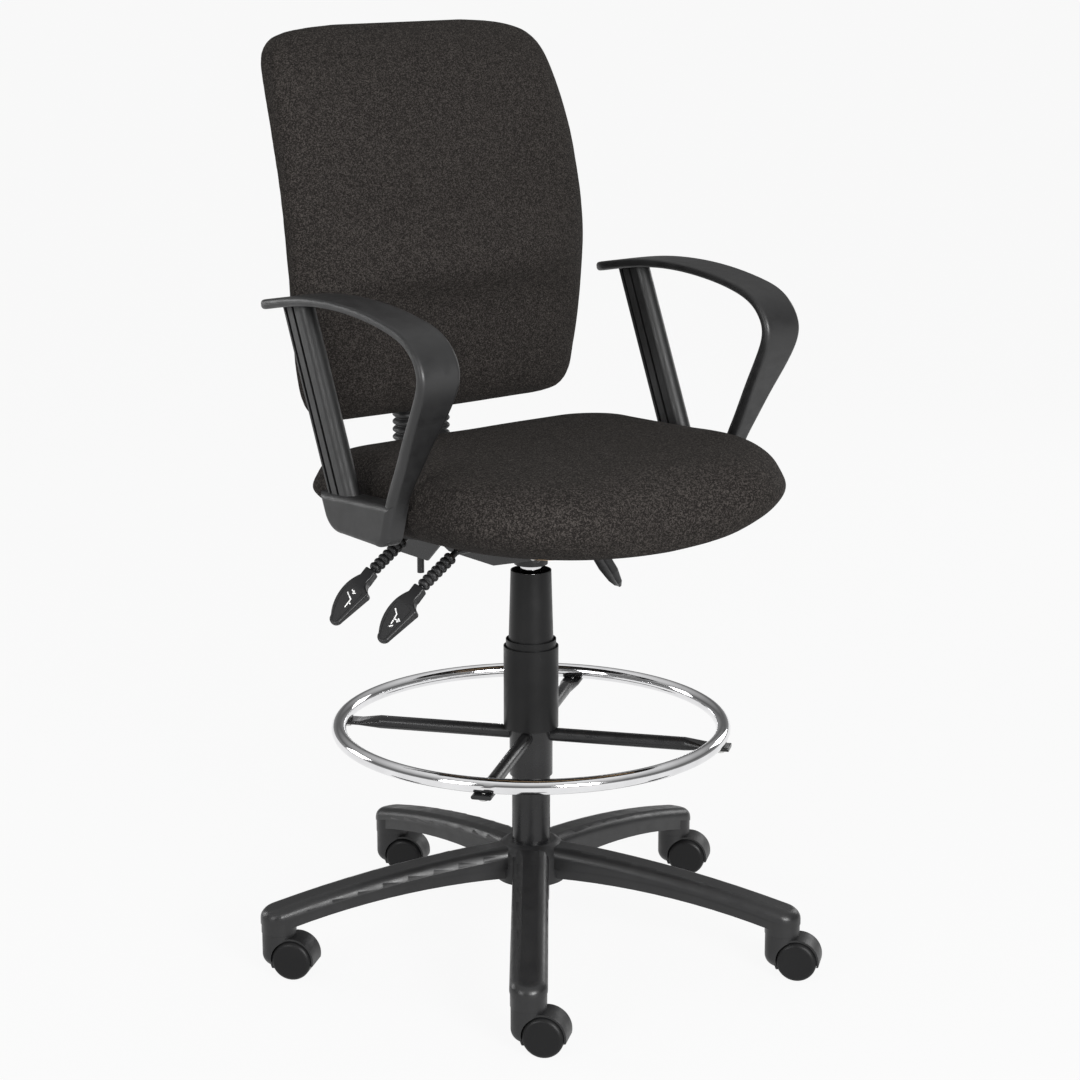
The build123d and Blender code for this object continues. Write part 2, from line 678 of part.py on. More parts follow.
def ring_bolt():
    under = RING_Z - RING_TUBE_R - SPOKE_FLAT_T - 2 * PRESS_GAP
    head = rod(BOLT_HEAD_R, (RING_R, 0, under - BOLT_HEAD_H), (RING_R, 0, under))
    head = chamfer(head.edges().group_by(Axis.Z)[0], BOLT_HEAD_H / 4)
    return head + rod(BOLT_R, (RING_R, 0, under), (RING_R, 0, RING_Z - RING_TUBE_R / 2))


def round_the_ring(piece):
    step = 360 / SPOKE_COUNT
    return Compound(children=[Rot(0, 0, SPOKE_FIRST_ANGLE + step * number) * piece for number in range(SPOKE_COUNT)])


def foot_ring_knob():
    start = RING_HUB_R + FACE_GAP + KNOB_NECK
    knob = rod(KNOB_R, (start, 0, 0), (start + KNOB_LENGTH, 0, 0))
    for lobe in range(KNOB_LOBES):
        angle = 360 / KNOB_LOBES * lobe
        notch = rod(KNOB_LOBE_R, (start - 1, 0, KNOB_R + KNOB_LOBE_R / 3), (start + KNOB_LENGTH + 1, 0, KNOB_R + KNOB_LOBE_R / 3))
        knob -= Rot(angle, 0, 0) * notch
    knob += rod(KNOB_R * 0.55, (RING_HUB_R + FACE_GAP, 0, 0), (start, 0, 0))
    knob += rod(KNOB_STEM_R, (COLUMN_R + 2 * FACE_GAP, 0, 0), (start, 0, 0))
    return Rot(0, 0, KNOB_ANGLE) * Pos(0, 0, KNOB_Z) * knob


# Tilt mechanism

LEVERS = ((-1, RECLINE_LEVER_Y), (-1, TILT_LEVER_Y), (1, BLADE_Y))


def housing_side(inset):
    low = HOUSING_UNDER + inset
    front = HOUSING_FRONT + inset
    rear = HOUSING_REAR - inset
    return outline((front, HOUSING_RIM + 1 if inset else HOUSING_RIM), (front, low + HOUSING_NOSE),
                   (front + HOUSING_NOSE_RUN, low), (rear - HOUSING_TAIL_RUN, low),
                   (rear, low + HOUSING_TAIL), (rear, HOUSING_RIM + 1 if inset else HOUSING_RIM))


def housing_floor(y):
    """Height in the housing's floor at a place along it."""
    rise = max(HOUSING_FRONT + HOUSING_NOSE_RUN - y, 0) / HOUSING_NOSE_RUN
    return HOUSING_UNDER + HOUSING_NOSE * rise + HOUSING_WALL / 2


def lever_cheeks(side, y):
    """Pair of cheeks that carry one lever's cross pin."""
    middle = side * LEVER_PIVOT_X
    cheeks = []
    for edge in (y - CHEEK_IN - CHEEK_THICK, y + CHEEK_IN):
        cheek = block((middle - CHEEK_HALF, middle + CHEEK_HALF), (edge, edge + CHEEK_THICK),
                      (housing_floor(edge), LEVER_PIVOT_Z))
        cheek += rod(CHEEK_HALF * 0.8, (middle, edge, LEVER_PIVOT_Z), (middle, edge + CHEEK_THICK, LEVER_PIVOT_Z))
        cheeks.append(cheek)
    return cheeks


def mechanism_housing():
    inner_half = HOUSING_HALF_W - HOUSING_WALL
    tub = side_prism(housing_side(0), -HOUSING_HALF_W, HOUSING_HALF_W)
    tub -= side_prism(housing_side(HOUSING_WALL), -inner_half, inner_half)
    tub += cylinder_z(SOCKET_R, SOCKET_UNDER, SOCKET_TOP)
    tub -= cylinder_z(CYLINDER_R + PRESS_GAP, SOCKET_UNDER - 1, HOUSING_RIM)
    for side, y in LEVERS:
        for cheek in lever_cheeks(side, y):
            tub += cheek
        wall = sorted((side * (HOUSING_HALF_W - 2 * HOUSING_WALL), side * (HOUSING_HALF_W + HOUSING_WALL)))
        tub -= block(wall, (y - 2 * LEVER_ROD_R, y + 2 * LEVER_ROD_R), (HOUSING_RIM - 6 * HOUSING_WALL, HOUSING_RIM + 1))
        tub -= rod(LEVER_PIN_R + RUN_FIT, (side * LEVER_PIVOT_X, y - 20, LEVER_PIVOT_Z),
                   (side * LEVER_PIVOT_X, y + 20, LEVER_PIVOT_Z))
    reach = 2 * HOUSING_HALF_W
    for y, z, radius in ((TILT_PIN_Y, TILT_PIN_Z, TILT_PIN_R), (RECLINE_PIN_Y, RECLINE_PIN_Z, RECLINE_PIN_R)):
        tub -= rod(radius + PRESS_GAP, (-reach, y, z), (reach, y, z))
    return tub


def pivot_pin(y, z, radius):
    """Cross pin through the housing with a head outside each ear."""
    reach = HOUSING_HALF_W + 2 * FACE_GAP + EAR_THICK
    pin = rod(radius, (-reach, y, z), (reach, y, z))
    for side in (-1, 1):
        pin += rod(radius + PIN_HEAD, (side * reach, y, z), (side * (reach + PIN_HEAD), y, z))
    return pin


def recline_spring():
    """Coil round the recline pin that brings the back forward again."""
    length = SPRING_TURNS * SPRING_PITCH
    helix = Helix(SPRING_PITCH, length, SPRING_COIL_R)
    start = Plane(origin=helix @ 0, x_dir=(0, 0, 1), z_dir=helix % 0)
    wire = sweep(start * Rectangle(SPRING_WIRE, SPRING_WIRE_DEEP), path=helix, is_frenet=True)
    return Pos(-length / 2, RECLINE_PIN_Y, RECLINE_PIN_Z) * Rot(0, 90, 0) * wire


# Levers, drawn in X and Z on the +X side and then set on their own side

def cross_pin(y):
    return rod(LEVER_PIN_R, (LEVER_PIVOT_X, y - LEVER_PIN_HALF, LEVER_PIVOT_Z),
               (LEVER_PIVOT_X, y + LEVER_PIN_HALF, LEVER_PIVOT_Z))


def along(start, end, distance):
    run = hypot(end[0] - start[0], end[1] - start[1])
    return (start[0] + (end[0] - start[0]) * distance / run, start[1] + (end[1] - start[1]) * distance / run)


SLEEVE_END = (SLEEVE_END_X, SLEEVE_END_Z)
LEVER_BEND = (LEVER_BEND_X, LEVER_PIVOT_Z)
PADDLE_TIP = (PADDLE_TIP_X, PADDLE_TIP_Z)
PADDLE_RUN = hypot(PADDLE_TIP_X - SLEEVE_END_X, PADDLE_TIP_Z - SLEEVE_END_Z)
SLOPE_RUN = hypot(SLEEVE_END_X - LEVER_BEND_X, SLEEVE_END_Z - LEVER_PIVOT_Z)


def lever_rod(y):
    """Rod from its cross pin, level to the bend and then down into the paddle."""
    end = along(LEVER_BEND, SLEEVE_END, SLOPE_RUN + PADDLE_INSERT)
    bend = (LEVER_BEND[0], y, LEVER_BEND[1])
    bar = rod(LEVER_ROD_R, (LEVER_PIVOT_X - 2 * LEVER_PIN_R, y, LEVER_PIVOT_Z), bend)
    bar += rod(LEVER_ROD_R, bend, (end[0], y, end[1]))
    bar += Pos(*bend) * Sphere(LEVER_ROD_R + LEVER_KNUCKLE)
    return bar + cross_pin(y)


def lever_sleeve(y):
    """Ribbed sleeve on the rod's slope: ruled rings of large and small radius."""
    start = SLOPE_RUN - SLEEVE_GAP - SLEEVE_RIBS * SLEEVE_PITCH
    slope = Vector(SLEEVE_END[0] - LEVER_BEND[0], 0, SLEEVE_END[1] - LEVER_BEND[1])
    rings = []
    for rib in range(SLEEVE_RIBS):
        for step, radius in ((0, SLEEVE_ROOT_R), (0.25, SLEEVE_ROOT_R), (0.45, SLEEVE_R), (0.8, SLEEVE_R)):
            x, z = along(LEVER_BEND, SLEEVE_END, start + (rib + step) * SLEEVE_PITCH)
            rings.append(Plane(origin=(x, y, z), x_dir=(0, 1, 0), z_dir=slope) * Circle(radius))
    sleeve = loft(rings, ruled=True)
    first = along(LEVER_BEND, SLEEVE_END, start - SLEEVE_PITCH)
    last = along(LEVER_BEND, SLEEVE_END, SLOPE_RUN + SLEEVE_PITCH)
    return sleeve - rod(LEVER_ROD_R + PRESS_GAP, (first[0], y, first[1]), (last[0], y, last[1]))


def paddle_plan():
    """Paddle seen on its face, along its length and across it: neck, finger hook on the front side, round tip."""
    tip = PADDLE_RUN - PADDLE_TIP_R
    hook_end = PADDLE_HOOK_U + PADDLE_HOOK_R
    neck, half = PADDLE_NECK_HALF, PADDLE_HALF
    return outline(
        (0, neck), (0, -neck), (PADDLE_COLLAR, -neck),
        ThreePointArc((PADDLE_COLLAR, -neck), (PADDLE_HOOK_U - 4, -neck - 1.5), (PADDLE_HOOK_U, 2 - half)),
        ThreePointArc((PADDLE_HOOK_U, 2 - half), (PADDLE_HOOK_U + 2, -half), (hook_end, -half)),
        (tip, -PADDLE_TIP_R),
        ThreePointArc((tip, -PADDLE_TIP_R), (PADDLE_RUN, 0), (tip, PADDLE_TIP_R)),
        ThreePointArc((tip, PADDLE_TIP_R), (hook_end + 6, half), (PADDLE_COLLAR, neck)),
    )


def paddle_side():
    """Paddle seen from its edge: deepest at the hook, thin at the tip."""
    return outline((0, -PADDLE_NECK_HALF), (0, PADDLE_NECK_HALF), (PADDLE_HOOK_U, PADDLE_DEPTH / 2),
                   (PADDLE_RUN, PADDLE_TIP_DEPTH / 2), (PADDLE_RUN, -PADDLE_TIP_DEPTH / 2),
                   (PADDLE_HOOK_U, -PADDLE_DEPTH / 2))


def label_ring():
    """Groove round the label field, drawn like the plan."""
    start = PADDLE_HOOK_U + LABEL_INSET
    end = PADDLE_RUN - PADDLE_TIP_R
    half = PADDLE_HALF - LABEL_INSET
    field = outline(ThreePointArc((start, -half), (start - LABEL_BOW, 0), (start, half)),
                    ThreePointArc((start, half), (start + (end - start) / 2, half), (end, LABEL_INSET)),
                    ThreePointArc((end, LABEL_INSET), (end + LABEL_INSET, 0), (end, -LABEL_INSET)),
                    (start, -half))
    return field - offset(field, -LABEL_GROOVE)


def lever_paddle(y):
    slope = Vector(PADDLE_TIP[0] - SLEEVE_END[0], 0, PADDLE_TIP[1] - SLEEVE_END[1])
    up = slope.cross(Vector(0, 1, 0)).normalized()
    face = up * cos(radians(PADDLE_TURN)) + Vector(0, -1, 0) * sin(radians(PADDLE_TURN))
    root = (SLEEVE_END[0], y, SLEEVE_END[1])
    flat = Plane(origin=root, x_dir=slope, z_dir=face)
    edge = Plane(origin=root, x_dir=slope, z_dir=slope.cross(face))
    paddle = extrude(flat * paddle_plan(), PADDLE_DEPTH, both=True)
    paddle &= extrude(edge * paddle_side(), 2 * PADDLE_HALF, both=True)
    paddle = fillet(paddle.edges().filter_by(lambda e: e.length > 3), PADDLE_EDGE_R)
    fall = atan2(PADDLE_DEPTH / 2 - PADDLE_TIP_DEPTH / 2, PADDLE_RUN - PADDLE_HOOK_U)
    top = flat * Pos(PADDLE_HOOK_U, 0, PADDLE_DEPTH / 2) * Rot(0, degrees(fall), 0) * Pos(-PADDLE_HOOK_U, 0, -LABEL_DEPTH)
    paddle -= extrude(top * label_ring(), 2 * LABEL_DEPTH)
    start = along(LEVER_BEND, SLEEVE_END, SLOPE_RUN - PADDLE_INSERT)
    end = along(LEVER_BEND, SLEEVE_END, SLOPE_RUN + PADDLE_INSERT)
    return paddle - rod(LEVER_ROD_R + PRESS_GAP, (start[0], y, start[1]), (end[0], y, end[1]))


# share of the blade's length, half width along Y and half thickness
BLADE_SLICES = ((0.0, 5.0, 4.4), (0.25, 9.0, 5.5), (0.5, 15.0, 6.0), (0.75, 16.0, 5.5), (0.93, 11.0, 4.0), (1.0, 6.0, 2.0))


def height_lever():
    """Rod with a finger over the release button and a scooped blade outside."""
    root = (BLADE_ROOT_X, LEVER_PIVOT_Z)
    tip = (BLADE_TIP_X, BLADE_TIP_Z)
    run = hypot(tip[0] - root[0], tip[1] - root[1])
    slope = Vector(tip[0] - root[0], 0, tip[1] - root[1])
    under = Vector(tip[1] - root[1], 0, root[0] - tip[0]).normalized() * (BLADE_SCOOP_R + BLADE_SKIN)
    slices = []
    for share, half_w, half_t in BLADE_SLICES:
        x, z = along(root, tip, share * run)
        face = round_rect(-half_w, half_w, -half_t, half_t, half_t * 0.8)
        slices.append(Plane(origin=(x, BLADE_Y, z), x_dir=(0, 1, 0), z_dir=slope) * face)
    blade = loft(slices, ruled=True)
    x, z = along(root, tip, BLADE_SCOOP_START * run)
    start = Vector(x, BLADE_Y, z) + under
    blade -= rod(BLADE_SCOOP_R, tuple(start), tuple(start + slope))
    half = BLADE_SLICES[0][1] + 1
    lever = rod(LEVER_ROD_R, (LEVER_PIVOT_X - FINGER_REACH, BLADE_Y, LEVER_PIVOT_Z), (root[0], BLADE_Y, root[1]))
    lever += rod(half, (root[0], BLADE_Y - half, root[1]), (root[0], BLADE_Y + half, root[1]))
    return lever + cross_pin(BLADE_Y) + blade


# Seat

def seat_slice(layer):
    height, side, front, rear = layer
    half = SEAT_HALF_W - side
    front_r = max(SEAT_FRONT_R - 0.8 * side, SEAT_CORNER_MIN)
    rear_r = max(SEAT_REAR_R - 0.6 * side, SEAT_CORNER_MIN)
    face = round_rect(-half, half, SEAT_FRONT + front, SEAT_REAR - rear, front_r, front_r, rear_r, rear_r)
    return Pos(0, 0, SEAT_UNDER + height) * face


def seat_cushion():
    cushion = loft([seat_slice(layer) for layer in SEAT_LAYERS], ruled=True)
    cushion -= seat_board_blank(SLIDE_FIT)
    for tongue in (arm_tongue(SLIDE_FIT), mirrored(arm_tongue(SLIDE_FIT))):
        cushion -= tongue
    return cushion


def seat_board_blank(room):
    face = round_rect(-SEAT_BOARD_HALF_W - room, SEAT_BOARD_HALF_W + room, SEAT_BOARD_FRONT - room,
                      SEAT_BOARD_REAR + room, SEAT_BOARD_R)
    return Pos(0, 0, SEAT_UNDER - room) * extrude(face, BOARD_THICK + 2 * room)


def seat_bolt_spots():
    """Place of each bolt under the seat and the thickness it passes before the board."""
    plate = [(x, y, PLATE_THICK) for x in (-PLATE_BOLT_X, PLATE_BOLT_X) for y in PLATE_BOLT_Y]
    arms = [(x, y, TONGUE_THICK) for x in (-ARM_BOLT_X, ARM_BOLT_X) for y in ARM_BOLT_Y]
    return plate + arms


def bolt_holes():
    room = BOLT_R + PRESS_GAP
    return [Pos(x, y, 0) * cylinder_z(room, SEAT_UNDER - 2 * TONGUE_THICK, SEAT_UNDER + BOARD_THICK + 1)
            for x, y, _ in seat_bolt_spots()]


def drilled(shape):
    for hole in bolt_holes():
        shape -= hole
    return shape


def seat_board():
    return drilled(seat_board_blank(0))


def seat_bolts():
    bolts = []
    for x, y, thick in seat_bolt_spots():
        under = SEAT_UNDER - PRESS_GAP - thick
        head = cylinder_z(BOLT_HEAD_R, under - BOLT_HEAD_H, under)
        head = chamfer(head.edges().group_by(Axis.Z)[0], BOLT_HEAD_H / 4)
        bolts.append(Pos(x, y, 0) * (head + cylinder_z(BOLT_R, under, SEAT_UNDER + BOARD_THICK - 1)))
    return Compound(children=bolts)


def ear_profile(y, z, top, half):
    """Ear that hangs from a plate and is round below its pivot."""
    return outline((y + half, top), (y - half, top), ThreePointArc((y - half, z), (y, z - half), (y + half, z)))


def seat_plate():
    top = SEAT_UNDER - PRESS_GAP
    face = round_rect(-PLATE_HALF_W, PLATE_HALF_W, PLATE_FRONT, PLATE_REAR, SEAT_BOARD_R / 2)
    plate = Pos(0, 0, top - PLATE_THICK) * extrude(face, PLATE_THICK)
    for side in (-1, 1):
        near = HOUSING_HALF_W + FACE_GAP
        edges = sorted((side * near, side * (near + EAR_THICK)))
        plate += side_prism(ear_profile(TILT_PIN_Y, TILT_PIN_Z, top - PLATE_THICK / 2, TILT_EAR_R), *edges)
    plate -= rod(TILT_PIN_R + RUN_FIT, (-PLATE_HALF_W, TILT_PIN_Y, TILT_PIN_Z), (PLATE_HALF_W, TILT_PIN_Y, TILT_PIN_Z))
    return drilled(plate)


# Arms, drawn on the +X side

def band_slice(number):
    y, z, width, thick = ARM_BAND[number]
    before = ARM_BAND[max(number - 1, 0)]
    after = ARM_BAND[min(number + 1, len(ARM_BAND) - 1)]
    run = Vector(0, after[0] - before[0], after[1] - before[1])
    face = round_rect(-width / 2, width / 2, -thick / 2, thick / 2, thick * 0.42)
    return Plane(origin=(ARM_X, y, z), x_dir=(1, 0, 0), z_dir=run) * face


def arm_post():
    """Leaning post: a slab with two grooves in each face and a round bar along its front."""
    top = (ARM_X, POST_TOP_Y, POST_TOP_Z)
    foot = (ARM_X, POST_FOOT_Y, POST_FOOT_Z)
    lean = Vector(*top) - Vector(*foot)
    frame = Plane(origin=foot, x_dir=(1, 0, 0), z_dir=lean)
    back = POST_SLAB - POST_HALF_X
    slab = round_rect(-POST_HALF_X, POST_HALF_X, 0, back, 2.0) + Circle(POST_HALF_X)
    post = extrude(frame * slab, lean.length)
    for groove in range(2):
        low = back - GROOVE_W * 1.4 - groove * GROOVE_PITCH
        for side in (-1, 1):
            edge = side * POST_HALF_X
            span = sorted((edge - side * GROOVE_DEPTH, edge + side))
            cut = Pos((span[0] + span[1]) / 2, low, lean.length / 2) * Box(span[1] - span[0], GROOVE_W, lean.length + 20)
            post -= frame * cut
    (rear_y, rear_z, *_), (front_y, front_z, *_) = ARM_BAND[2:4]
    rise = (front_z - rear_z) / (front_y - rear_y)
    low, high = 2 * POST_FOOT_Y - rear_y, 2 * rear_y
    over = outline((low, rear_z + rise * (low - rear_y)), (high, rear_z + rise * (high - rear_y)),
                   (high, 2 * POST_TOP_Z), (low, 2 * POST_TOP_Z))
    return post - side_prism(over, ARM_X - 2 * POST_HALF_X, ARM_X + 2 * POST_HALF_X)


def arm_shoe():
    profile = outline((58.0, 619.0), (-70.0, 626.0), (-90.0, 626.0), (-79.0, 590.0),
                      ThreePointArc((-79.0, 590.0), (-72.0, 578.0), (-55.0, 574.0)), (14.0, 575.0),
                      ThreePointArc((14.0, 575.0), (38.0, 582.0), (48.0, 596.0)))
    shoe = side_prism(profile, ARM_X - SHOE_IN, ARM_X + SHOE_OUT)
    return fillet(shoe.faces().sort_by(Axis.X)[-1].edges(), SHOE_EDGE_R)


def arm_tongue(room=0.0):
    """Foot that runs in under the seat: level under the board, rising to the shoe."""
    top = SEAT_UNDER - PRESS_GAP
    level = SEAT_HALF_W - SEAT_LAYERS[0][1] + 4
    out = ARM_X - SHOE_IN + 3
    profile = outline((TONGUE_END_X - room, top - TONGUE_THICK), (level, top - TONGUE_THICK), (out, top + 14.0),
                      (out, top + 26.0), (level, top + room), (TONGUE_END_X - room, top + room))
    return extrude(across(profile, TONGUE_Y), TONGUE_HALF_Y + room, both=True)


def loop_arm():
    arm = loft([band_slice(number) for number in range(len(ARM_BAND))])
    arm += arm_post()
    arm += arm_shoe()
    arm += arm_tongue()
    return drilled(arm)


# Back

def back_line(z):
    """Y of the back's middle line at a height."""
    rise = z - BACK_WAIST_Z
    return BACK_WAIST_Y + (BACK_LEAN if rise > 0 else BACK_TUCK) * rise ** 2


def back_half_width(z):
    """Half width of the back at a height, straight between its layers."""
    for (low, narrow, _), (high, wide, _) in zip(BACK_LAYERS, BACK_LAYERS[1:]):
        if low <= z <= high:
            return narrow + (wide - narrow) * (z - low) / (high - low)
    return 0.0


def pad_rear(z):
    """How far the cushion's rear stands behind the middle line."""
    rise = max(z - BACK_WAIST_Z, 0) / (BACK_LAYERS[-1][0] - BACK_WAIST_Z)
    return PAD_REAR + PAD_REAR_RISE * rise


def cushion_slice(layer):
    """Level slice of the back cushion: flat rear, rounded sides, crowned front."""
    z, half, share = layer
    middle = back_line(z)
    reach = BACK_BULGE_RISE if z > BACK_BULGE_Z else BACK_BULGE_FALL
    bulge = BACK_BULGE * exp(-((z - BACK_BULGE_Z) / reach) ** 2)
    bulge -= BACK_CREASE * exp(-((z - BACK_CREASE_Z) / BACK_CREASE_REACH) ** 2)
    rear = middle + pad_rear(z) * share
    edge = middle - PAD_EDGE * share
    front = middle - (PAD_FRONT + bulge) * share
    tuck = PAD_TUCK * (rear - edge)
    turn = PAD_TURN * (rear - edge)
    face = outline((half - turn, rear), (turn - half, rear),
                   ThreePointArc((turn - half, rear), (-half, (rear + edge) / 2), (tuck - half, edge)),
                   ThreePointArc((tuck - half, edge), (0, front), (half - tuck, edge)),
                   ThreePointArc((half - tuck, edge), (half, (rear + edge) / 2), (half - turn, rear)))
    return Pos(0, 0, z) * face


def back_cushion():
    return loft([cushion_slice(layer) for layer in BACK_LAYERS], ruled=True)


def back_heights(low, high, count):
    return [low + (high - low) * step / (count - 1) for step in range(count)]


def back_board():
    slices = []
    for z in back_heights(BACK_BOARD_LOW, BACK_BOARD_HIGH, 9):
        half = back_half_width(z) - BACK_BOARD_INSET
        front = back_line(z) + pad_rear(z) + BOARD_GAP
        slices.append(Pos(0, 0, z) * outline((-half, front), (half, front), (half, front + BACK_BOARD_THICK),
                                             (-half, front + BACK_BOARD_THICK)))
    return loft(slices, ruled=True)


def board_rear(z):
    """Y just behind the back board at a height."""
    return back_line(z) + pad_rear(z) + BOARD_GAP + SLIDE_FIT + BACK_BOARD_THICK


def shell_slice(z, wall):
    front = board_rear(z)
    half = back_half_width(z) - SHELL_INSET - wall
    rear = front + SHELL_DEPTH - SHELL_TAPER * max(z - BACK_WAIST_Z, 0) / (SHELL_HIGH - BACK_WAIST_Z) - wall
    start = front - wall / 3
    return Pos(0, 0, z) * outline((-half, start), (half, start), ThreePointArc((half, start), (0, rear), (-half, start)))


def back_shell():
    shell = loft([shell_slice(z, 0) for z in back_heights(SHELL_LOW, SHELL_HIGH, 9)], ruled=True)
    shell -= loft([shell_slice(z, SHELL_WALL) for z in back_heights(SHELL_LOW + SHELL_WALL, SHELL_HIGH - SHELL_WALL, 9)],
                  ruled=True)
    gap = 2.0
    mouth = round_rect(-BOOT_HALF_W - gap, BOOT_HALF_W + gap, UPRIGHT_Y - BOOT_HALF_D - gap, UPRIGHT_Y + BOOT_HALF_D + gap,
                       BOOT_CORNER)
    return shell - Pos(0, 0, SHELL_LOW - SHELL_WALL) * extrude(mouth, 3 * SHELL_WALL)


def slider_bolt_spots():
    return [(x, z) for x in (-SLIDER_BOLT_X, SLIDER_BOLT_X) for z in SLIDER_BOLT_Z]


def back_slide_bracket():
    """Guide on the back board that runs on the upright bar."""
    front = board_rear(SLIDER_LOW)
    rear = UPRIGHT_Y + UPRIGHT_THICK / 2 + SLIDE_FIT + SLIDER_WALL
    guide = block((-SLIDER_HALF_W, SLIDER_HALF_W), (front, rear), (SLIDER_LOW, SLIDER_HIGH))
    guide -= upright_blank(SLIDE_FIT, SLIDER_LOW - 1, SLIDER_HIGH + 1)
    for x, z in slider_bolt_spots():
        guide -= rod(BOLT_R + PRESS_GAP, (x, front - 1, z), (x, rear + 1, z))
    return guide


def back_bolts():
    rear = UPRIGHT_Y + UPRIGHT_THICK / 2 + SLIDE_FIT + SLIDER_WALL + PRESS_GAP
    front = board_rear(SLIDER_LOW)
    bolts = []
    for x, z in slider_bolt_spots():
        bolts.append(rod(BOLT_HEAD_R, (x, rear, z), (x, rear + BOLT_HEAD_H, z)) + rod(BOLT_R, (x, front + 1, z), (x, rear, z)))
    return Compound(children=bolts)


# Back support

def upright_blank(room, low, high):
    half_t = UPRIGHT_THICK / 2 + room
    return block((-UPRIGHT_HALF_W - room, UPRIGHT_HALF_W + room), (UPRIGHT_Y - half_t, UPRIGHT_Y + half_t), (low, high))


def upright_bar():
    bar = upright_blank(0, UPRIGHT_LOW, UPRIGHT_HIGH)
    return fillet(bar.edges().filter_by(Axis.Y).group_by(Axis.Z)[-1], UPRIGHT_HALF_W / 2)


def back_bracket():
    """Two side plates from the recline pin to a rear web that holds the upright."""
    rear = UPRIGHT_Y - UPRIGHT_THICK / 2 - PRESS_GAP
    near = HOUSING_HALF_W + FACE_GAP
    corner = quarter((rear - BRACKET_ROUND, BRACKET_UNDER + BRACKET_ROUND), BRACKET_ROUND, 270)
    side = outline(
        ThreePointArc((RECLINE_PIN_Y, RECLINE_PIN_Z + EAR_R), (RECLINE_PIN_Y - EAR_R, RECLINE_PIN_Z),
                      (RECLINE_PIN_Y, RECLINE_PIN_Z - EAR_R)),
        (STUB_Y - BRACKET_ROUND, BRACKET_UNDER), corner, (rear, BRACKET_TOP), (rear - BRACKET_ROUND, BRACKET_TOP),
        (rear - 2 * BRACKET_ROUND, BRACKET_RIDGE),
    )
    bracket = block((-near, near), (rear - BRACKET_WEB, rear), (BRACKET_UNDER + BRACKET_ROUND, BRACKET_TOP))
    for hand in (-1, 1):
        bracket += side_prism(side, *sorted((hand * near, hand * (near + EAR_THICK))))
    edge = near + EAR_THICK
    bracket += rod(STUB_R, (-edge + STUB_R, STUB_Y, BRACKET_UNDER - STUB_LENGTH), (-edge + STUB_R, STUB_Y, BRACKET_UNDER + STUB_R))
    return bracket - rod(RECLINE_PIN_R + RUN_FIT, (-2 * near, RECLINE_PIN_Y, RECLINE_PIN_Z), (2 * near, RECLINE_PIN_Y, RECLINE_PIN_Z))


def boot_ring(z, inset):
    face = round_rect(-BOOT_HALF_W + inset, BOOT_HALF_W - inset, UPRIGHT_Y - BOOT_HALF_D + inset,
                      UPRIGHT_Y + BOOT_HALF_D - inset, BOOT_CORNER - inset)
    return Pos(0, 0, z) * face


def upright_boot():
    """Ribbed rubber sleeve: ruled rings of large and small outline round a straight bore."""
    rings = [boot_ring(BOOT_LOW, BOOT_ROOT)]
    for rib in range(BOOT_RIBS):
        for step, inset in ((0, BOOT_ROOT), (0.2, BOOT_ROOT), (0.45, 0.0), (0.75, 0.0)):
            rings.append(boot_ring(BOOT_RIB_LOW + (rib + step) * BOOT_PITCH, inset))
    rings.append(boot_ring(BOOT_RIB_LOW + BOOT_RIBS * BOOT_PITCH, BOOT_ROOT))
    rings.append(boot_ring(BOOT_HIGH, BOOT_ROOT))
    return loft(rings, ruled=True) - upright_blank(BOOT_BORE_GAP, BOOT_LOW - 1, BOOT_HIGH + 1)


def all_nodes():
    nodes = {
        "base_star": base_star(),
        "column_tube": column_tube(),
        "guide_bush": guide_bush(),
        "piston_rod": piston_rod(),
        "thrust_bearing": thrust_bearing(),
        "gas_cylinder": gas_cylinder(),
        "release_button": release_button(),
        "cover_bottom": cover_bottom(),
        "cover_middle": cover_middle(),
        "cover_top": cover_top(),
        "foot_ring_tube": foot_ring_tube(),
        "foot_ring_hub": foot_ring_hub(),
        "foot_ring_spokes": round_the_ring(foot_ring_spoke()),
        "foot_ring_bolts": round_the_ring(ring_bolt()),
        "foot_ring_knob": foot_ring_knob(),
        "mechanism_housing": mechanism_housing(),
        "tilt_pin": pivot_pin(TILT_PIN_Y, TILT_PIN_Z, TILT_PIN_R),
        "recline_pin": pivot_pin(RECLINE_PIN_Y, RECLINE_PIN_Z, RECLINE_PIN_R),
        "recline_spring": recline_spring(),
        "height_lever": height_lever(),
        "seat_plate": seat_plate(),
        "seat_board": seat_board(),
        "seat_cushion": seat_cushion(),
        "seat_bolts": seat_bolts(),
        "back_bracket": back_bracket(),
        "upright_bar": upright_bar(),
        "upright_boot": upright_boot(),
        "back_board": back_board(),
        "back_cushion": back_cushion(),
        "back_shell": back_shell(),
        "back_slide_bracket": back_slide_bracket(),
        "back_bolts": back_bolts(),
    }
    for name, y in (("recline_lever", RECLINE_LEVER_Y), ("tilt_lever", TILT_LEVER_Y)):
        nodes[f"{name}_rod"] = mirrored(lever_rod(y))
        nodes[f"{name}_sleeve"] = mirrored(lever_sleeve(y))
        nodes[f"{name}_paddle"] = mirrored(lever_paddle(y))
    arm = loop_arm()
    nodes["arm_left"] = arm
    nodes["arm_right"] = mirrored(arm)
    nodes.update(caster_nodes())
    return nodes


os.makedirs("parts", exist_ok=True)
for node, shape in all_nodes().items():
    export_step(shape, f"parts/{node}.step")
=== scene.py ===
"""Looks of a drafting chair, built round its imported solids. Metres, Z up, the sitter faces -Y."""

import json
import math

import bmesh
import bpy
import numpy as np
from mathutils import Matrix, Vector
from mathutils.bvhtree import BVHTree


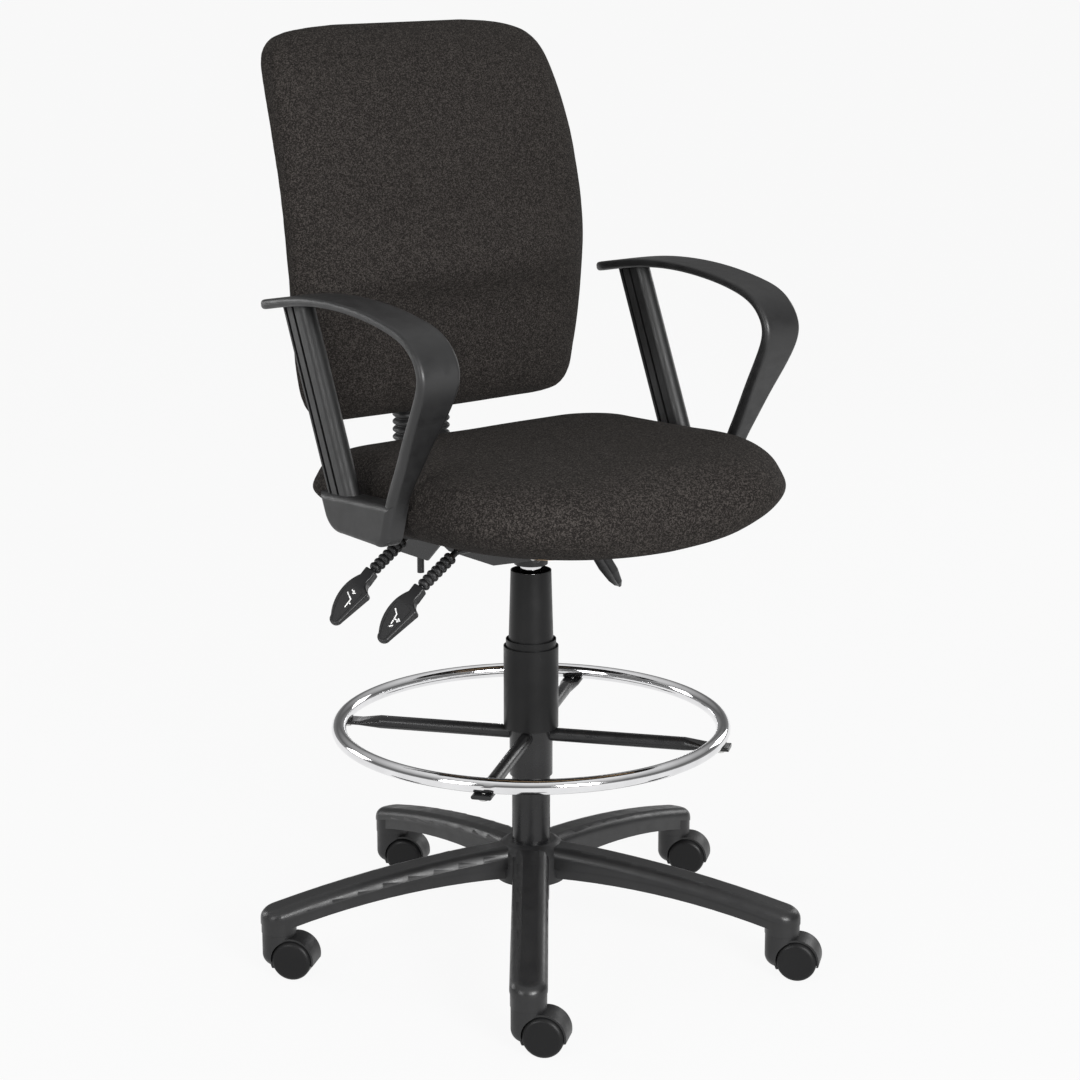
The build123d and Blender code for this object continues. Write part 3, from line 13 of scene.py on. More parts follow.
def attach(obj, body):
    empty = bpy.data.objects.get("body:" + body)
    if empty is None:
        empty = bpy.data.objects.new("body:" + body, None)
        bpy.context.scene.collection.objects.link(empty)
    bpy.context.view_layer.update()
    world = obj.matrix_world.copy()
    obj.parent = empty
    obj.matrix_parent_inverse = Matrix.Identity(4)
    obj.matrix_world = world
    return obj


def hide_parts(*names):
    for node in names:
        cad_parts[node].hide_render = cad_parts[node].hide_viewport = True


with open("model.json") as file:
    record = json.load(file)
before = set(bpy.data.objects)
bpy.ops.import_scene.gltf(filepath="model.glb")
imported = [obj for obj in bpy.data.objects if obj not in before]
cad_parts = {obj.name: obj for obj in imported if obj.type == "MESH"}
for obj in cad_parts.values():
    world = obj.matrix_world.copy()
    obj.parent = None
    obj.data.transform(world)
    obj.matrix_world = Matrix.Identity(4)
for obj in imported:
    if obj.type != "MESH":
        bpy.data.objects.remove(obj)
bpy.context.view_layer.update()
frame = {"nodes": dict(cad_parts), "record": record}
nodes = frame["nodes"]
scene = bpy.context.scene
MM = 0.001


# Finishes

NOISE_BAND = (0.3, 0.7)   # where most of a noise lies


class Finish:
    """A Principled shader and the nodes that give it its colour, gloss and grain."""

    def __init__(self, name, **constants):
        self.material = bpy.data.materials.new(name)
        self.material.use_nodes = True
        self.tree = self.material.node_tree
        self.shader = self.tree.nodes["Principled BSDF"]
        for socket, value in constants.items():
            self.shader.inputs[socket.replace("_", " ")].default_value = value
        self.place = self.add("ShaderNodeTexCoord").outputs["Object"]

    def add(self, kind, **settings):
        node = self.tree.nodes.new(kind)
        for key, value in settings.items():
            setattr(node, key, value)
        return node

    def feed(self, node, **sources):
        """Set or link a node's inputs by name; i0 and i1 pick the first and second by place."""
        for key, source in sources.items():
            by_place = key[0] == "i" and key[1:].isdigit()
            socket = node.inputs[int(key[1:]) if by_place else key]
            if isinstance(source, bpy.types.NodeSocket):
                self.tree.links.new(source, socket)
            else:
                socket.default_value = source
        return node

    def noise(self, scale, detail, place=None):
        node = self.add("ShaderNodeTexNoise")
        self.feed(node, Vector=place or self.place, Scale=scale, Detail=detail)
        return node.outputs["Fac"]

    def math(self, operation, first, second=0.0):
        node = self.add("ShaderNodeMath", operation=operation)
        return self.feed(node, i0=first, i1=second).outputs[0]

    def blend(self, *pairs):
        """Sum of values, each times its share."""
        total = None
        for value, share in pairs:
            part = self.math("MULTIPLY", value, share)
            total = part if total is None else self.math("ADD", total, part)
        return total

    def ramp(self, value, *stops):
        """Colours along a value; each stop is its place and its colour."""
        node = self.feed(self.add("ShaderNodeValToRGB"), Fac=value)
        marks = node.color_ramp.elements
        while len(marks) < len(stops):
            marks.new(0.5)
        for mark, (spot, colour) in zip(marks, stops):
            mark.position = spot
            mark.color = (*colour, 1)
        return node.outputs["Color"]

    def stretch(self, noise, to_low, to_high):
        """A noise's band laid over another range."""
        node = self.feed(self.add("ShaderNodeMapRange"), Value=noise)
        for number, limit in enumerate((*NOISE_BAND, to_low, to_high), start=1):
            node.inputs[number].default_value = limit
        return node.outputs["Result"]

    def dress(self, colour, roughness, height, strength, depth):
        bump = self.add("ShaderNodeBump")
        self.feed(bump, Height=height, Strength=strength, Distance=depth)
        looks = {"Base Color": colour, "Roughness": roughness, "Normal": bump.outputs["Normal"]}
        for name, source in looks.items():
            self.tree.links.new(source, self.shader.inputs[name])
        return self.material


# charcoal cloth, lengths in metres
THREAD_PITCH = 0.0011
PLANE_PICK = 6.0          # how sharply the weave changes planes on a curve
SWAY_SCALE = 600.0        # how finely the threads wander, and how far
SWAY_REACH = 0.0012
SPECK_SCALE = 1100.0
SPECK_SHARE, KNOT_SHARE, THREAD_SHARE = 0.25, 0.65, 0.1
CLOTH_TONES = (
    (0.14, (0.0062, 0.0055, 0.0051)),
    (0.56, (0.0195, 0.0173, 0.016)),
    (0.88, (0.062, 0.0551, 0.0506)),
)
CLOTH_ROUGHNESS = (0.95, 0.8)
THREAD_RELIEF, SHADE_RELIEF = 0.3, 0.9
CLOTH_RELIEF = 0.5
CLOTH_DEPTH = 0.0008


def weave_group(pitch):
    """Plain weave on two coordinates: crossing threads that pass over and under in turn."""
    tree = bpy.data.node_groups.new("plain_weave", "ShaderNodeTree")
    for name in ("U", "V"):
        tree.interface.new_socket(name, in_out="INPUT", socket_type="NodeSocketFloat")
    tree.interface.new_socket("Height", in_out="OUTPUT", socket_type="NodeSocketFloat")
    start = tree.nodes.new("NodeGroupInput")
    end = tree.nodes.new("NodeGroupOutput")

    def step(operation, first, second=None):
        node = tree.nodes.new("ShaderNodeMath")
        node.operation = operation
        for socket, source in zip(node.inputs, (first, second)):
            if isinstance(source, bpy.types.NodeSocket):
                tree.links.new(source, socket)
            elif source is not None:
                socket.default_value = source
        return node.outputs[0]

    counts = [step("MULTIPLY", start.outputs[name], 1 / pitch) for name in ("U", "V")]
    crowns = [step("ABSOLUTE", step("SINE", step("MULTIPLY", count, math.pi))) for count in counts]
    cell = step("ADD", step("FLOOR", counts[0]), step("FLOOR", counts[1]))
    turn = step("FLOORED_MODULO", cell, 2.0)
    over = step("MULTIPLY", crowns[0], turn)
    under = step("MULTIPLY", crowns[1], step("SUBTRACT", 1.0, turn))
    tree.links.new(step("ADD", over, under), end.inputs["Height"])
    return tree


def woven(finish, tree, place):
    """Weave laid on the plane that a face looks along most."""
    spot = finish.feed(finish.add("ShaderNodeSeparateXYZ"), Vector=place).outputs
    facing = finish.add("ShaderNodeNewGeometry").outputs["Normal"]
    lean = finish.feed(finish.add("ShaderNodeSeparateXYZ"), Vector=facing).outputs
    heights = []
    for first, second in ((1, 2), (0, 2), (0, 1)):
        group = finish.add("ShaderNodeGroup", node_tree=tree)
        heights.append(finish.feed(group, U=spot[first], V=spot[second]).outputs["Height"])
    weights = [finish.math("POWER", finish.math("ABSOLUTE", lean[axis]), PLANE_PICK)
               for axis in range(3)]
    total = finish.math("ADD", finish.math("ADD", weights[0], weights[1]), weights[2])
    return finish.math("DIVIDE", finish.blend(*zip(heights, weights)), total)


def charcoal_cloth(name, knots_per_metre):
    """Dry crepe: brown-black threads of uneven shade with pale specks, and a light nap."""
    finish = Finish(name, Sheen_Weight=0.01, Sheen_Roughness=0.5, Sheen_Tint=(0.9, 0.85, 0.8, 1),
                    Specular_IOR_Level=0.06)
    sway = finish.add("ShaderNodeTexNoise")
    finish.feed(sway, Vector=finish.place, Scale=SWAY_SCALE, Detail=2.0)
    shift = finish.add("ShaderNodeVectorMath", operation="SCALE")
    finish.feed(shift, i0=sway.outputs["Color"], Scale=SWAY_REACH)
    moved = finish.add("ShaderNodeVectorMath", operation="ADD")
    place = finish.feed(moved, i0=finish.place, i1=shift.outputs[0]).outputs[0]
    thread = woven(finish, weave_group(THREAD_PITCH), place)
    knots = finish.add("ShaderNodeTexVoronoi")
    finish.feed(knots, Vector=place, Scale=knots_per_metre)
    split = finish.add("ShaderNodeSeparateColor")
    knot = finish.feed(split, Color=knots.outputs["Color"]).outputs["Red"]
    speck = finish.noise(SPECK_SCALE, 1.0)
    shade = finish.blend((speck, SPECK_SHARE), (knot, KNOT_SHARE), (thread, THREAD_SHARE))
    height = finish.blend((thread, THREAD_RELIEF), (shade, SHADE_RELIEF))
    return finish.dress(finish.ramp(shade, *CLOTH_TONES), finish.stretch(speck, *CLOTH_ROUGHNESS),
                        height, CLOTH_RELIEF, CLOTH_DEPTH)


# moulded plastic
FLOW_SCALE = 9.0
SCUFF_SCALE = 60.0
FLOW_SHARE, FLECK_SHARE = 0.6, 0.4
SHADE_LOW, SHADE_HIGH = 0.35, 0.65
SCUFF_DOWN, SCUFF_UP = 0.06, 0.08


def moulded(name, dark, light, gloss, grain=1500.0, depth=0.0002, strength=0.25, shine=0.4):
    """Moulded plastic: a fine spark grain, faint flow clouds and scuffed gloss."""
    finish = Finish(name, Specular_IOR_Level=shine)
    cloud = finish.noise(FLOW_SCALE, 4.0)
    fleck = finish.noise(grain, 2.0)
    shade = finish.blend((cloud, FLOW_SHARE), (fleck, FLECK_SHARE))
    colour = finish.ramp(shade, (SHADE_LOW, dark), (SHADE_HIGH, light))
    scuff = finish.stretch(finish.noise(SCUFF_SCALE, 5.0), gloss - SCUFF_DOWN, gloss + SCUFF_UP)
    return finish.dress(colour, scuff, fleck, strength, depth)


# metal
PLATE_SCALE = 35.0
PLATE_DARK, PLATE_LIGHT = 0.94, 1.06
PLATE_SMOOTH, PLATE_DULL = 0.8, 1.3
DRAWN_LINES = (900.0, 900.0, 12.0)
DRAWN_DEPTH = 0.00005


def metal(name, colour, gloss, draw=0.0):
    """Bare or plated metal: faint clouding, and drawn lines along Z where draw is above nought."""
    finish = Finish(name, Metallic=1.0)
    cloud = finish.noise(PLATE_SCALE, 4.0)
    darker = tuple(part * PLATE_DARK for part in colour)
    lighter = tuple(min(1.0, part * PLATE_LIGHT) for part in colour)
    tone = finish.ramp(cloud, (NOISE_BAND[0], darker), (NOISE_BAND[1], lighter))
    lines = finish.add("ShaderNodeMapping")
    finish.feed(lines, Vector=finish.place, Scale=DRAWN_LINES)
    fine = finish.noise(1.0, 2.0, lines.outputs[0])
    dull = finish.stretch(cloud, gloss * PLATE_SMOOTH, gloss * PLATE_DULL)
    return finish.dress(tone, dull, fine, draw, DRAWN_DEPTH)


PLY_GRAIN = (4.0, 60.0, 700.0)
PLY_DARK, PLY_LIGHT = (0.36, 0.22, 0.11), (0.62, 0.43, 0.25)


def beech_ply():
    """Raw plywood: thin layers across Z, long grain along X."""
    finish = Finish("beech_ply")
    layers = finish.add("ShaderNodeMapping")
    finish.feed(layers, Vector=finish.place, Scale=PLY_GRAIN)
    grain = finish.noise(1.0, 5.0, layers.outputs[0])
    colour = finish.ramp(grain, (NOISE_BAND[0], PLY_DARK), (NOISE_BAND[1], PLY_LIGHT))
    return finish.dress(colour, finish.stretch(grain, 0.55, 0.75), grain, 0.2, 0.0003)


CLOTH = charcoal_cloth("charcoal_cloth", 950.0)
SEAT_CLOTH = charcoal_cloth("charcoal_seat_cloth", 780.0)
NYLON = moulded("black_nylon", (0.009, 0.009, 0.0095), (0.016, 0.016, 0.0165), 0.36)
HOOD = moulded("caster_nylon", (0.008, 0.008, 0.0085), (0.013, 0.013, 0.0135), 0.46)
TREAD = moulded("wheel_nylon", (0.004, 0.004, 0.0043), (0.0075, 0.0075, 0.0078), 0.42,
                grain=900.0, depth=0.0001, strength=0.12, shine=0.22)
COVER = moulded("cover_plastic", (0.0055, 0.0055, 0.0056), (0.0095, 0.0095, 0.0098), 0.34,
                grain=2200.0, depth=0.0001, strength=0.12, shine=0.2)
ARM = moulded("arm_nylon", (0.0055, 0.0055, 0.0058), (0.0098, 0.0098, 0.0101), 0.46,
              grain=1700.0, depth=0.0003, strength=0.3, shine=0.55)
RUBBER = moulded("black_rubber", (0.006, 0.006, 0.0065), (0.012, 0.012, 0.0125), 0.5,
                 grain=700.0, depth=0.0002, strength=0.2)
ENAMEL = moulded("black_enamel", (0.007, 0.007, 0.0075), (0.011, 0.011, 0.0115), 0.28,
                 grain=500.0, depth=0.0003, strength=0.15)
CHROME = metal("chrome", (0.78, 0.78, 0.79), 0.07)
STEEL = metal("zinc_steel", (0.55, 0.55, 0.54), 0.28, draw=0.2)
PLY = beech_ply()

FINISH_OF_SLOT = {
    "black_plastic": NYLON,
    "black_enamel": ENAMEL,
    "plated_steel": STEEL,
    "chrome": CHROME,
    "black_rubber": RUBBER,
    "plywood": PLY,
    "charcoal_fabric": CLOTH,
}
# nodes with a finish of their own, by the end of their name; the cloth wraps round the back board
FINISH_OF_ENDING = {
    "_hood": HOOD,
    "_wheel_a": TREAD,
    "_wheel_b": TREAD,
    "cover_bottom": COVER,
    "cover_middle": COVER,
    "cover_top": COVER,
    "arm_right": ARM,
    "arm_left": ARM,
    "back_board": CLOTH,
}


def finish_solids():
    for part in frame["record"]["subparts"]:
        finish = FINISH_OF_SLOT[part["material_slot"]]
        for ending, special in FINISH_OF_ENDING.items():
            if part["node"].endswith(ending):
                finish = special
        for holder in nodes[part["node"]].material_slots:
            holder.material = finish


# Meshes

WELD = 1e-6               # corners nearer than this are one


def new_piece(name, points, faces, finish, smooth=True):
    mesh = bpy.data.meshes.new(name)
    mesh.from_pydata([tuple(point) for point in points], [], faces)
    mesh.materials.append(finish)
    piece = bpy.data.objects.new(name, mesh)
    scene.collection.objects.link(piece)
    shell = bmesh.new()
    shell.from_mesh(mesh)
    bmesh.ops.remove_doubles(shell, verts=shell.verts, dist=WELD)
    bmesh.ops.recalc_face_normals(shell, faces=shell.faces)
    shell.to_mesh(mesh)
    shell.free()
    for face in mesh.polygons:
        face.use_smooth = smooth
    return piece


def ring_shell(rings):
    """Points and faces of a closed form through rings of equal count, fanned shut at both ends."""
    count = len(rings[0])
    points = [point for ring in rings for point in ring]
    faces = []
    for row in range(len(rings) - 1):
        for spot in range(count):
            after = (spot + 1) % count
            low, high = row * count, (row + 1) * count
            faces.append((low + spot, low + after, high + after, high + spot))
    for row in (0, len(rings) - 1):
        points.append(np.mean(np.array(rings[row]), axis=0))
        for spot in range(count):
            faces.append((row * count + spot, row * count + (spot + 1) % count, len(points) - 1))
    return points, faces


def even_points(path, count):
    """A closed path's points moved to equal distances along it."""
    path = np.array(path)
    runs = np.linalg.norm(np.roll(path, -1, axis=0) - path, axis=1)
    marks = np.concatenate(([0], np.cumsum(runs)))
    closed = np.vstack((path, path[:1]))
    spots = np.linspace(0, marks[-1], count, endpoint=False)
    return np.column_stack([np.interp(spots, marks, column) for column in closed.T])


def smooth_rows(rows, steps):
    """Rows of numbers with rounded rows put between them (Catmull-Rom)."""
    rows = np.array(rows)
    out = []
    for number in range(len(rows) - 1):
        before, start = rows[max(number - 1, 0)], rows[number]
        end, after = rows[number + 1], rows[min(number + 2, len(rows) - 1)]
        for part in np.arange(steps) / steps:
            out.append(0.5 * (2 * start + (end - before) * part
                              + (2 * before - 5 * start + 4 * end - after) * part ** 2
                              + (3 * start - before - 3 * end + after) * part ** 3))
    out.append(rows[-1])
    return out


def rounded_frame(half, front, rear, front_r, rear_r, steps=24):
    """Outline of a seat slice from the middle of its front edge, round by the sitter's left."""
    path = [(0.0, front)]
    for x, y, radius, start in ((half, front, front_r, -90), (half, rear, rear_r, 0),
                                (-half, rear, rear_r, 90), (-half, front, front_r, 180)):
        middle_x = x - math.copysign(radius, x)
        middle_y = front + radius if y == front else rear - radius
        for step in range(steps + 1):
            angle = math.radians(start + 90 * step / steps)
            path.append((middle_x + radius * math.cos(angle), middle_y + radius * math.sin(angle)))
    return path


# Cushions

SEAT_HALF_W = 237.5
SEAT_FRONT = -290.0
SEAT_REAR = 187.0
SEAT_FRONT_R = 138.0
SEAT_REAR_R = 78.0
SEAT_CORNER_MIN = 20.0
# a slice that stands in at the sides has other corners: gain or loss of radius for each mm
SEAT_FRONT_R_BELOW, SEAT_FRONT_R_ABOVE, SEAT_REAR_R_LOSS = 0.35, -0.8, 0.6
SEAT_WIDEST = 38.5        # height of the widest line over the underside
SEAT_UNDER = 563.0
SEAT_TILT = 0.03          # rise towards the front of all but the underside
SEAT_TILT_LOW = 8.0       # heights between which the rise grows
SEAT_TILT_HIGH = 38.0
SEAT_SIDE_BULGE = 13.0    # the sides swell out, most at this Y
SEAT_BULGE_Y = -90.0
SEAT_BULGE_REACH = 110.0
SEAT_HELD = 9.0           # the cover is fixed below this height over the underside
# height over the underside, then how far in the cover stands at sides, front and rear
SEAT_LAYERS = (
    (0.0, 90.0, 32.0, 53.0),
    (6.0, 52.0, 17.0, 36.0),
    (14.0, 24.0, 8.0, 20.0),
    (25.0, 8.0, 2.0, 8.0),
    (38.5, 0.0, 0.0, 0.0),
    (55.0, 4.0, 8.0, 7.0),
    (70.0, 9.0, 22.0, 19.0),
    (81.5, 19.0, 48.0, 40.0),
    (88.0, 35.0, 86.0, 72.0),
    (91.0, 64.0, 138.0, 116.0),
    (92.2, 118.0, 187.0, 165.0),
    (92.6, 185.0, 215.0, 200.0),
)
# height, half width, and the share of the full padding there
BACK_LAYERS = (
    (664.0, 146.0, 0.15),
    (668.0, 178.0, 0.42),
    (676.0, 195.0, 0.68),
    (690.0, 206.0, 0.88),
    (712.0, 213.5, 1.0),
    (770.0, 222.5, 1.0),
    (860.0, 228.5, 1.0),
    (914.0, 228.5, 1.0),
    (960.0, 226.5, 1.0),
    (1010.0, 224.0, 1.0),
    (1060.0, 219.0, 1.0),
    (1100.0, 212.5, 0.97),
    (1122.0, 203.0, 0.82),
    (1136.5, 184.0, 0.6),
    (1145.0, 150.0, 0.36),
    (1149.5, 100.0, 0.15),
)
BACK_WAIST_Z = 860.0
BACK_WAIST_Y = 182.0
BACK_LEAN = 0.00102       # how fast the back bows to the rear above the waist and below it
BACK_TUCK = 0.00021
BACK_HELD = 12.0          # the cover is fixed this far behind the middle line
BACK_BULGE = 23.0
BACK_BULGE_Z = 853.0
BACK_BULGE_RISE = 44.0    # how far the lumbar roll reaches up and down
BACK_BULGE_FALL = 32.0
BACK_CREASE = 5.0         # soft fold over the lumbar roll
BACK_CREASE_Z = 926.0
BACK_CREASE_REACH = 19.0
BACK_ROLL_HALF_W = 215.0
PAD_FRONT = 34.0          # padding ahead of the middle line
PAD_FRONT_FULL = 2.6      # 2 is an ellipse, more is squarer
PAD_EDGE = 17.0           # the lumbar roll fades out over this depth
PAD_REAR = 17.0           # padding behind the middle line, and its gain up to the top
PAD_REAR_RISE = 26.0
PAD_REAR_FULL = 6.0
SECTION_STEPS = 720
LAYER_STEPS = 4           # rings from one layer to the next
RING_POINTS = 180

CLOTH_CELL = 6.0          # size of the cover's mesh
SEAT_SWELL = 5.0          # how far the filling may push the cover
BACK_SWELL = 4.0
SLACK = 1.5               # how much smaller a cover starts than its finished form
SETTLE_ROUNDS = 3         # times that a new mesh is smoothed and laid back on its form
SETTLE_PASSES = 3
COVER_QUALITY = 5         # cloth solver: steps, mass, stiffness, filling and its frames
COVER_MASS = 0.3
COVER_BEND = 2.0
FILL_PRESSURE = 4.0
FILL_FRAMES = 20
FILL_PASSES = 24          # smoothing of the push
OWN_SHARE, NEAR_SHARE = 0.4, 0.6


def seat_rings():
    rings = []
    for height, side, front, rear in smooth_rows(SEAT_LAYERS, LAYER_STEPS):
        half = SEAT_HALF_W - side
        gain = SEAT_FRONT_R_BELOW if height < SEAT_WIDEST else SEAT_FRONT_R_ABOVE
        front_r = max(SEAT_FRONT_R + gain * side, SEAT_CORNER_MIN)
        rear_r = max(SEAT_REAR_R - SEAT_REAR_R_LOSS * side, SEAT_CORNER_MIN)
        path = rounded_frame(half, SEAT_FRONT + front, SEAT_REAR - rear, front_r, rear_r)
        share = min(max((height - SEAT_TILT_LOW) / (SEAT_TILT_HIGH - SEAT_TILT_LOW), 0), 1)
        ring = []
        for x, y in even_points(path, RING_POINTS):
            near = math.exp(-((y - SEAT_BULGE_Y) / SEAT_BULGE_REACH) ** 2)
            wide = x + SEAT_SIDE_BULGE * near * x / SEAT_HALF_W
            z = SEAT_UNDER + height - SEAT_TILT * y * share
            ring.append((wide * MM, y * MM, z * MM))
        rings.append(ring)
    return rings


def back_middle(z):
    """Y of the back's middle line at a height."""
    rise = z - BACK_WAIST_Z
    return BACK_WAIST_Y + (BACK_LEAN if rise > 0 else BACK_TUCK) * rise ** 2


def back_rings():
    rings = []
    for z, half, share in smooth_rows(BACK_LAYERS, LAYER_STEPS):
        middle = back_middle(z)
        lift = max(z - BACK_WAIST_Z, 0) / (BACK_LAYERS[-1][0] - BACK_WAIST_Z)
        rear = (PAD_REAR + PAD_REAR_RISE * lift) * share
        path = []
        for step in range(SECTION_STEPS):
            angle = math.pi / 2 + 2 * math.pi * step / SECTION_STEPS
            across, along = math.cos(angle), math.sin(angle)
            deep, full = (rear, PAD_REAR_FULL) if along > 0 else (PAD_FRONT * share, PAD_FRONT_FULL)
            path.append((math.copysign(abs(across) ** (2 / full), across) * half,
                         middle + math.copysign(abs(along) ** (2 / full), along) * deep))
        rings.append([(x * MM, y * MM, z * MM) for x, y in even_points(path, RING_POINTS)])
    return rings


def corners(mesh):
    spots = np.empty(len(mesh.vertices) * 3)
    mesh.vertices.foreach_get("co", spots)
    return spots.reshape(-1, 3)


def place_corners(mesh, spots):
    mesh.vertices.foreach_set("co", spots.ravel())
    mesh.update()


def apply_modifiers(piece):
    """Swap a piece's mesh for what its modifiers make of it, and drop them."""
    seen = piece.evaluated_get(bpy.context.evaluated_depsgraph_get())
    mesh = bpy.data.meshes.new_from_object(seen)
    piece.modifiers.clear()
    piece.data = mesh
    for face in mesh.polygons:
        face.use_smooth = True


def remesh(piece, cell):
    """Even quads on the same form: smoothed, then every corner goes back to the true surface."""
    form = BVHTree.FromPolygons([tuple(spot) for spot in corners(piece.data)],
                                [tuple(face.vertices) for face in piece.data.polygons])
    modifier = piece.modifiers.new("even_mesh", "REMESH")
    modifier.mode = "VOXEL"
    modifier.voxel_size = cell * MM
    apply_modifiers(piece)
    mesh = piece.data
    for _ in range(SETTLE_ROUNDS):
        smoothed = evened(mesh, corners(mesh), SETTLE_PASSES)
        place_corners(mesh, np.array([form.find_nearest(spot)[0] for spot in smoothed]))


def swell(piece, held, limit):
    """Fill the cover: cloth under pressure, held where fixed, pushed no further than the limit."""
    mesh = piece.data
    start = corners(mesh)
    group = piece.vertex_groups.new(name="held")
    group.add([int(number) for number in np.nonzero(held(start))[0]], 1.0, "REPLACE")
    cloth = piece.modifiers.new("cover", "CLOTH")
    cloth.settings.quality = COVER_QUALITY
    cloth.settings.mass = COVER_MASS
    cloth.settings.bending_stiffness = COVER_BEND
    cloth.settings.use_pressure = True
    cloth.settings.uniform_pressure_force = FILL_PRESSURE
    cloth.settings.vertex_group_mass = "held"
    cloth.settings.effector_weights.gravity = 0.0
    for number in range(1, FILL_FRAMES + 1):
        scene.frame_set(number)
    seen = piece.evaluated_get(bpy.context.evaluated_depsgraph_get())
    pushed = corners(seen.to_mesh())
    seen.to_mesh_clear()
    piece.modifiers.clear()
    piece.vertex_groups.clear()
    scene.frame_set(1)
    step = pushed - start
    reach = np.linalg.norm(step, axis=1, keepdims=True)
    step *= limit * MM / np.maximum(reach, limit * MM)
    place_corners(mesh, start + evened(mesh, step, FILL_PASSES))


def evened(mesh, values, rounds):
    """Values at a mesh's corners, drawn towards the mean of their neighbours round after round."""
    ends = np.empty(len(mesh.edges) * 2, dtype=np.int32)
    mesh.edges.foreach_get("vertices", ends)
    first, second = ends.reshape(-1, 2).T
    count = np.bincount(ends, minlength=len(values))[:, None]
    for _ in range(rounds):
        total = np.zeros_like(values)
        np.add.at(total, first, values[second])
        np.add.at(total, second, values[first])
        values = OWN_SHARE * values + NEAR_SHARE * total / count
    return values


def shrink(piece, amount):
    """Draw a piece's surface in along its normals."""
    mesh = piece.data
    lean = np.empty(len(mesh.vertices) * 3)
    mesh.vertices.foreach_get("normal", lean)
    place_corners(mesh, corners(mesh) - lean.reshape(-1, 3) * amount * MM)


def shape_lumbar(piece):
    """Roll in the small of the back and the fold above it, on the front of the filled cover."""
    spots = corners(piece.data)
    height = spots[:, 2] / MM
    middle = np.array([back_middle(z) for z in height])
    ahead = np.clip((middle - spots[:, 1] / MM) / PAD_EDGE, 0, 1)
    across = np.clip(1 - np.abs(spots[:, 0] / MM / BACK_ROLL_HALF_W) ** 3, 0, 1)
    reach = np.where(height > BACK_BULGE_Z, BACK_BULGE_RISE, BACK_BULGE_FALL)
    roll = BACK_BULGE * np.exp(-((height - BACK_BULGE_Z) / reach) ** 2)
    fold = BACK_CREASE * np.exp(-((height - BACK_CREASE_Z) / BACK_CREASE_REACH) ** 2)
    spots[:, 1] -= (roll - fold) * ahead * across * MM
    place_corners(piece.data, spots)


def upholster(name, rings, cloth, held, limit, node, body, shape=None):
    """A filled cloth cover through these rings, in place of a cushion's plain solid."""
    points, faces = ring_shell(rings)
    piece = new_piece(name, points, faces, cloth)
    remesh(piece, CLOTH_CELL)
    shrink(piece, SLACK)
    swell(piece, held, limit)
    if shape:
        shape(piece)
    finer = piece.modifiers.new("fine_cover", "SUBSURF")
    finer.levels = finer.render_levels = 1
    apply_modifiers(piece)
    if not piece.data.materials:
        piece.data.materials.append(cloth)
    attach(piece, body)
    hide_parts(node)


def held_seat(spots):
    return spots[:, 2] < (SEAT_UNDER + SEAT_HELD) * MM


def held_back(spots):
    middle = np.array([back_middle(z / MM) for z in spots[:, 2]]) * MM
    return spots[:, 1] > middle + BACK_HELD * MM


# Ribbed rubber

class Rig:
    """A Geometry Nodes tree with named inputs, ending in a plain mesh with its finish."""

    def __init__(self, name, inputs):
        self.tree = bpy.data.node_groups.new(name, "GeometryNodeTree")
        self.keys = {}
        for label, kind in inputs.items():
            self.keys[label] = self.socket(label, "INPUT", kind).identifier
        self.socket("Geometry", "OUTPUT", "Geometry")
        self.given = self.tree.nodes.new("NodeGroupInput").outputs
        self.end = self.tree.nodes.new("NodeGroupOutput")

    def socket(self, label, side, kind):
        return self.tree.interface.new_socket(label, in_out=side, socket_type="NodeSocket" + kind)

    def add(self, kind, *sources, settings=None, **named):
        node = self.tree.nodes.new(kind)
        for key, value in (settings or {}).items():
            setattr(node, key, value)
        pairs = list(enumerate(sources)) + list(named.items())
        for key, source in pairs:
            socket = node.inputs[key if isinstance(key, int) else key.replace("_", " ")]
            if isinstance(source, bpy.types.NodeSocket):
                self.tree.links.new(source, socket)
            elif source is not None:
                socket.default_value = source
        return node.outputs

    def math(self, operation, first, second=None):
        return self.add("ShaderNodeMath", first, second, settings={"operation": operation})[0]

    def close(self, geometry, finish):
        plain = self.add("GeometryNodeRealizeInstances", geometry)[0]
        dressed = self.add("GeometryNodeSetMaterial", Geometry=plain, Material=finish)[0]
        self.tree.links.new(dressed, self.end.inputs[0])

    def make(self, name, **values):
        """A plain mesh object made by the tree from these inputs."""
        piece = bpy.data.objects.new(name, bpy.data.meshes.new(name))
        scene.collection.objects.link(piece)
        modifier = piece.modifiers.new("rig", "NODES")
        modifier.node_group = self.tree
        for label, value in values.items():
            modifier[self.keys[label.replace("_", " ")]] = value
        apply_modifiers(piece)
        return piece


RIB_ROUND = 0.65          # 1 is a plain wave, less is fuller
CORNER_STEPS = 7
SLEEVE_INPUTS = {
    "Start": "Vector",
    "End": "Vector",
    "Width": "Float",
    "Depth": "Float",
    "Corner": "Float",
    "Plain": "Float",
    "Pitch": "Float",
    "Ribs": "Float",
    "Root Share": "Float",
    "Points": "Int",
}


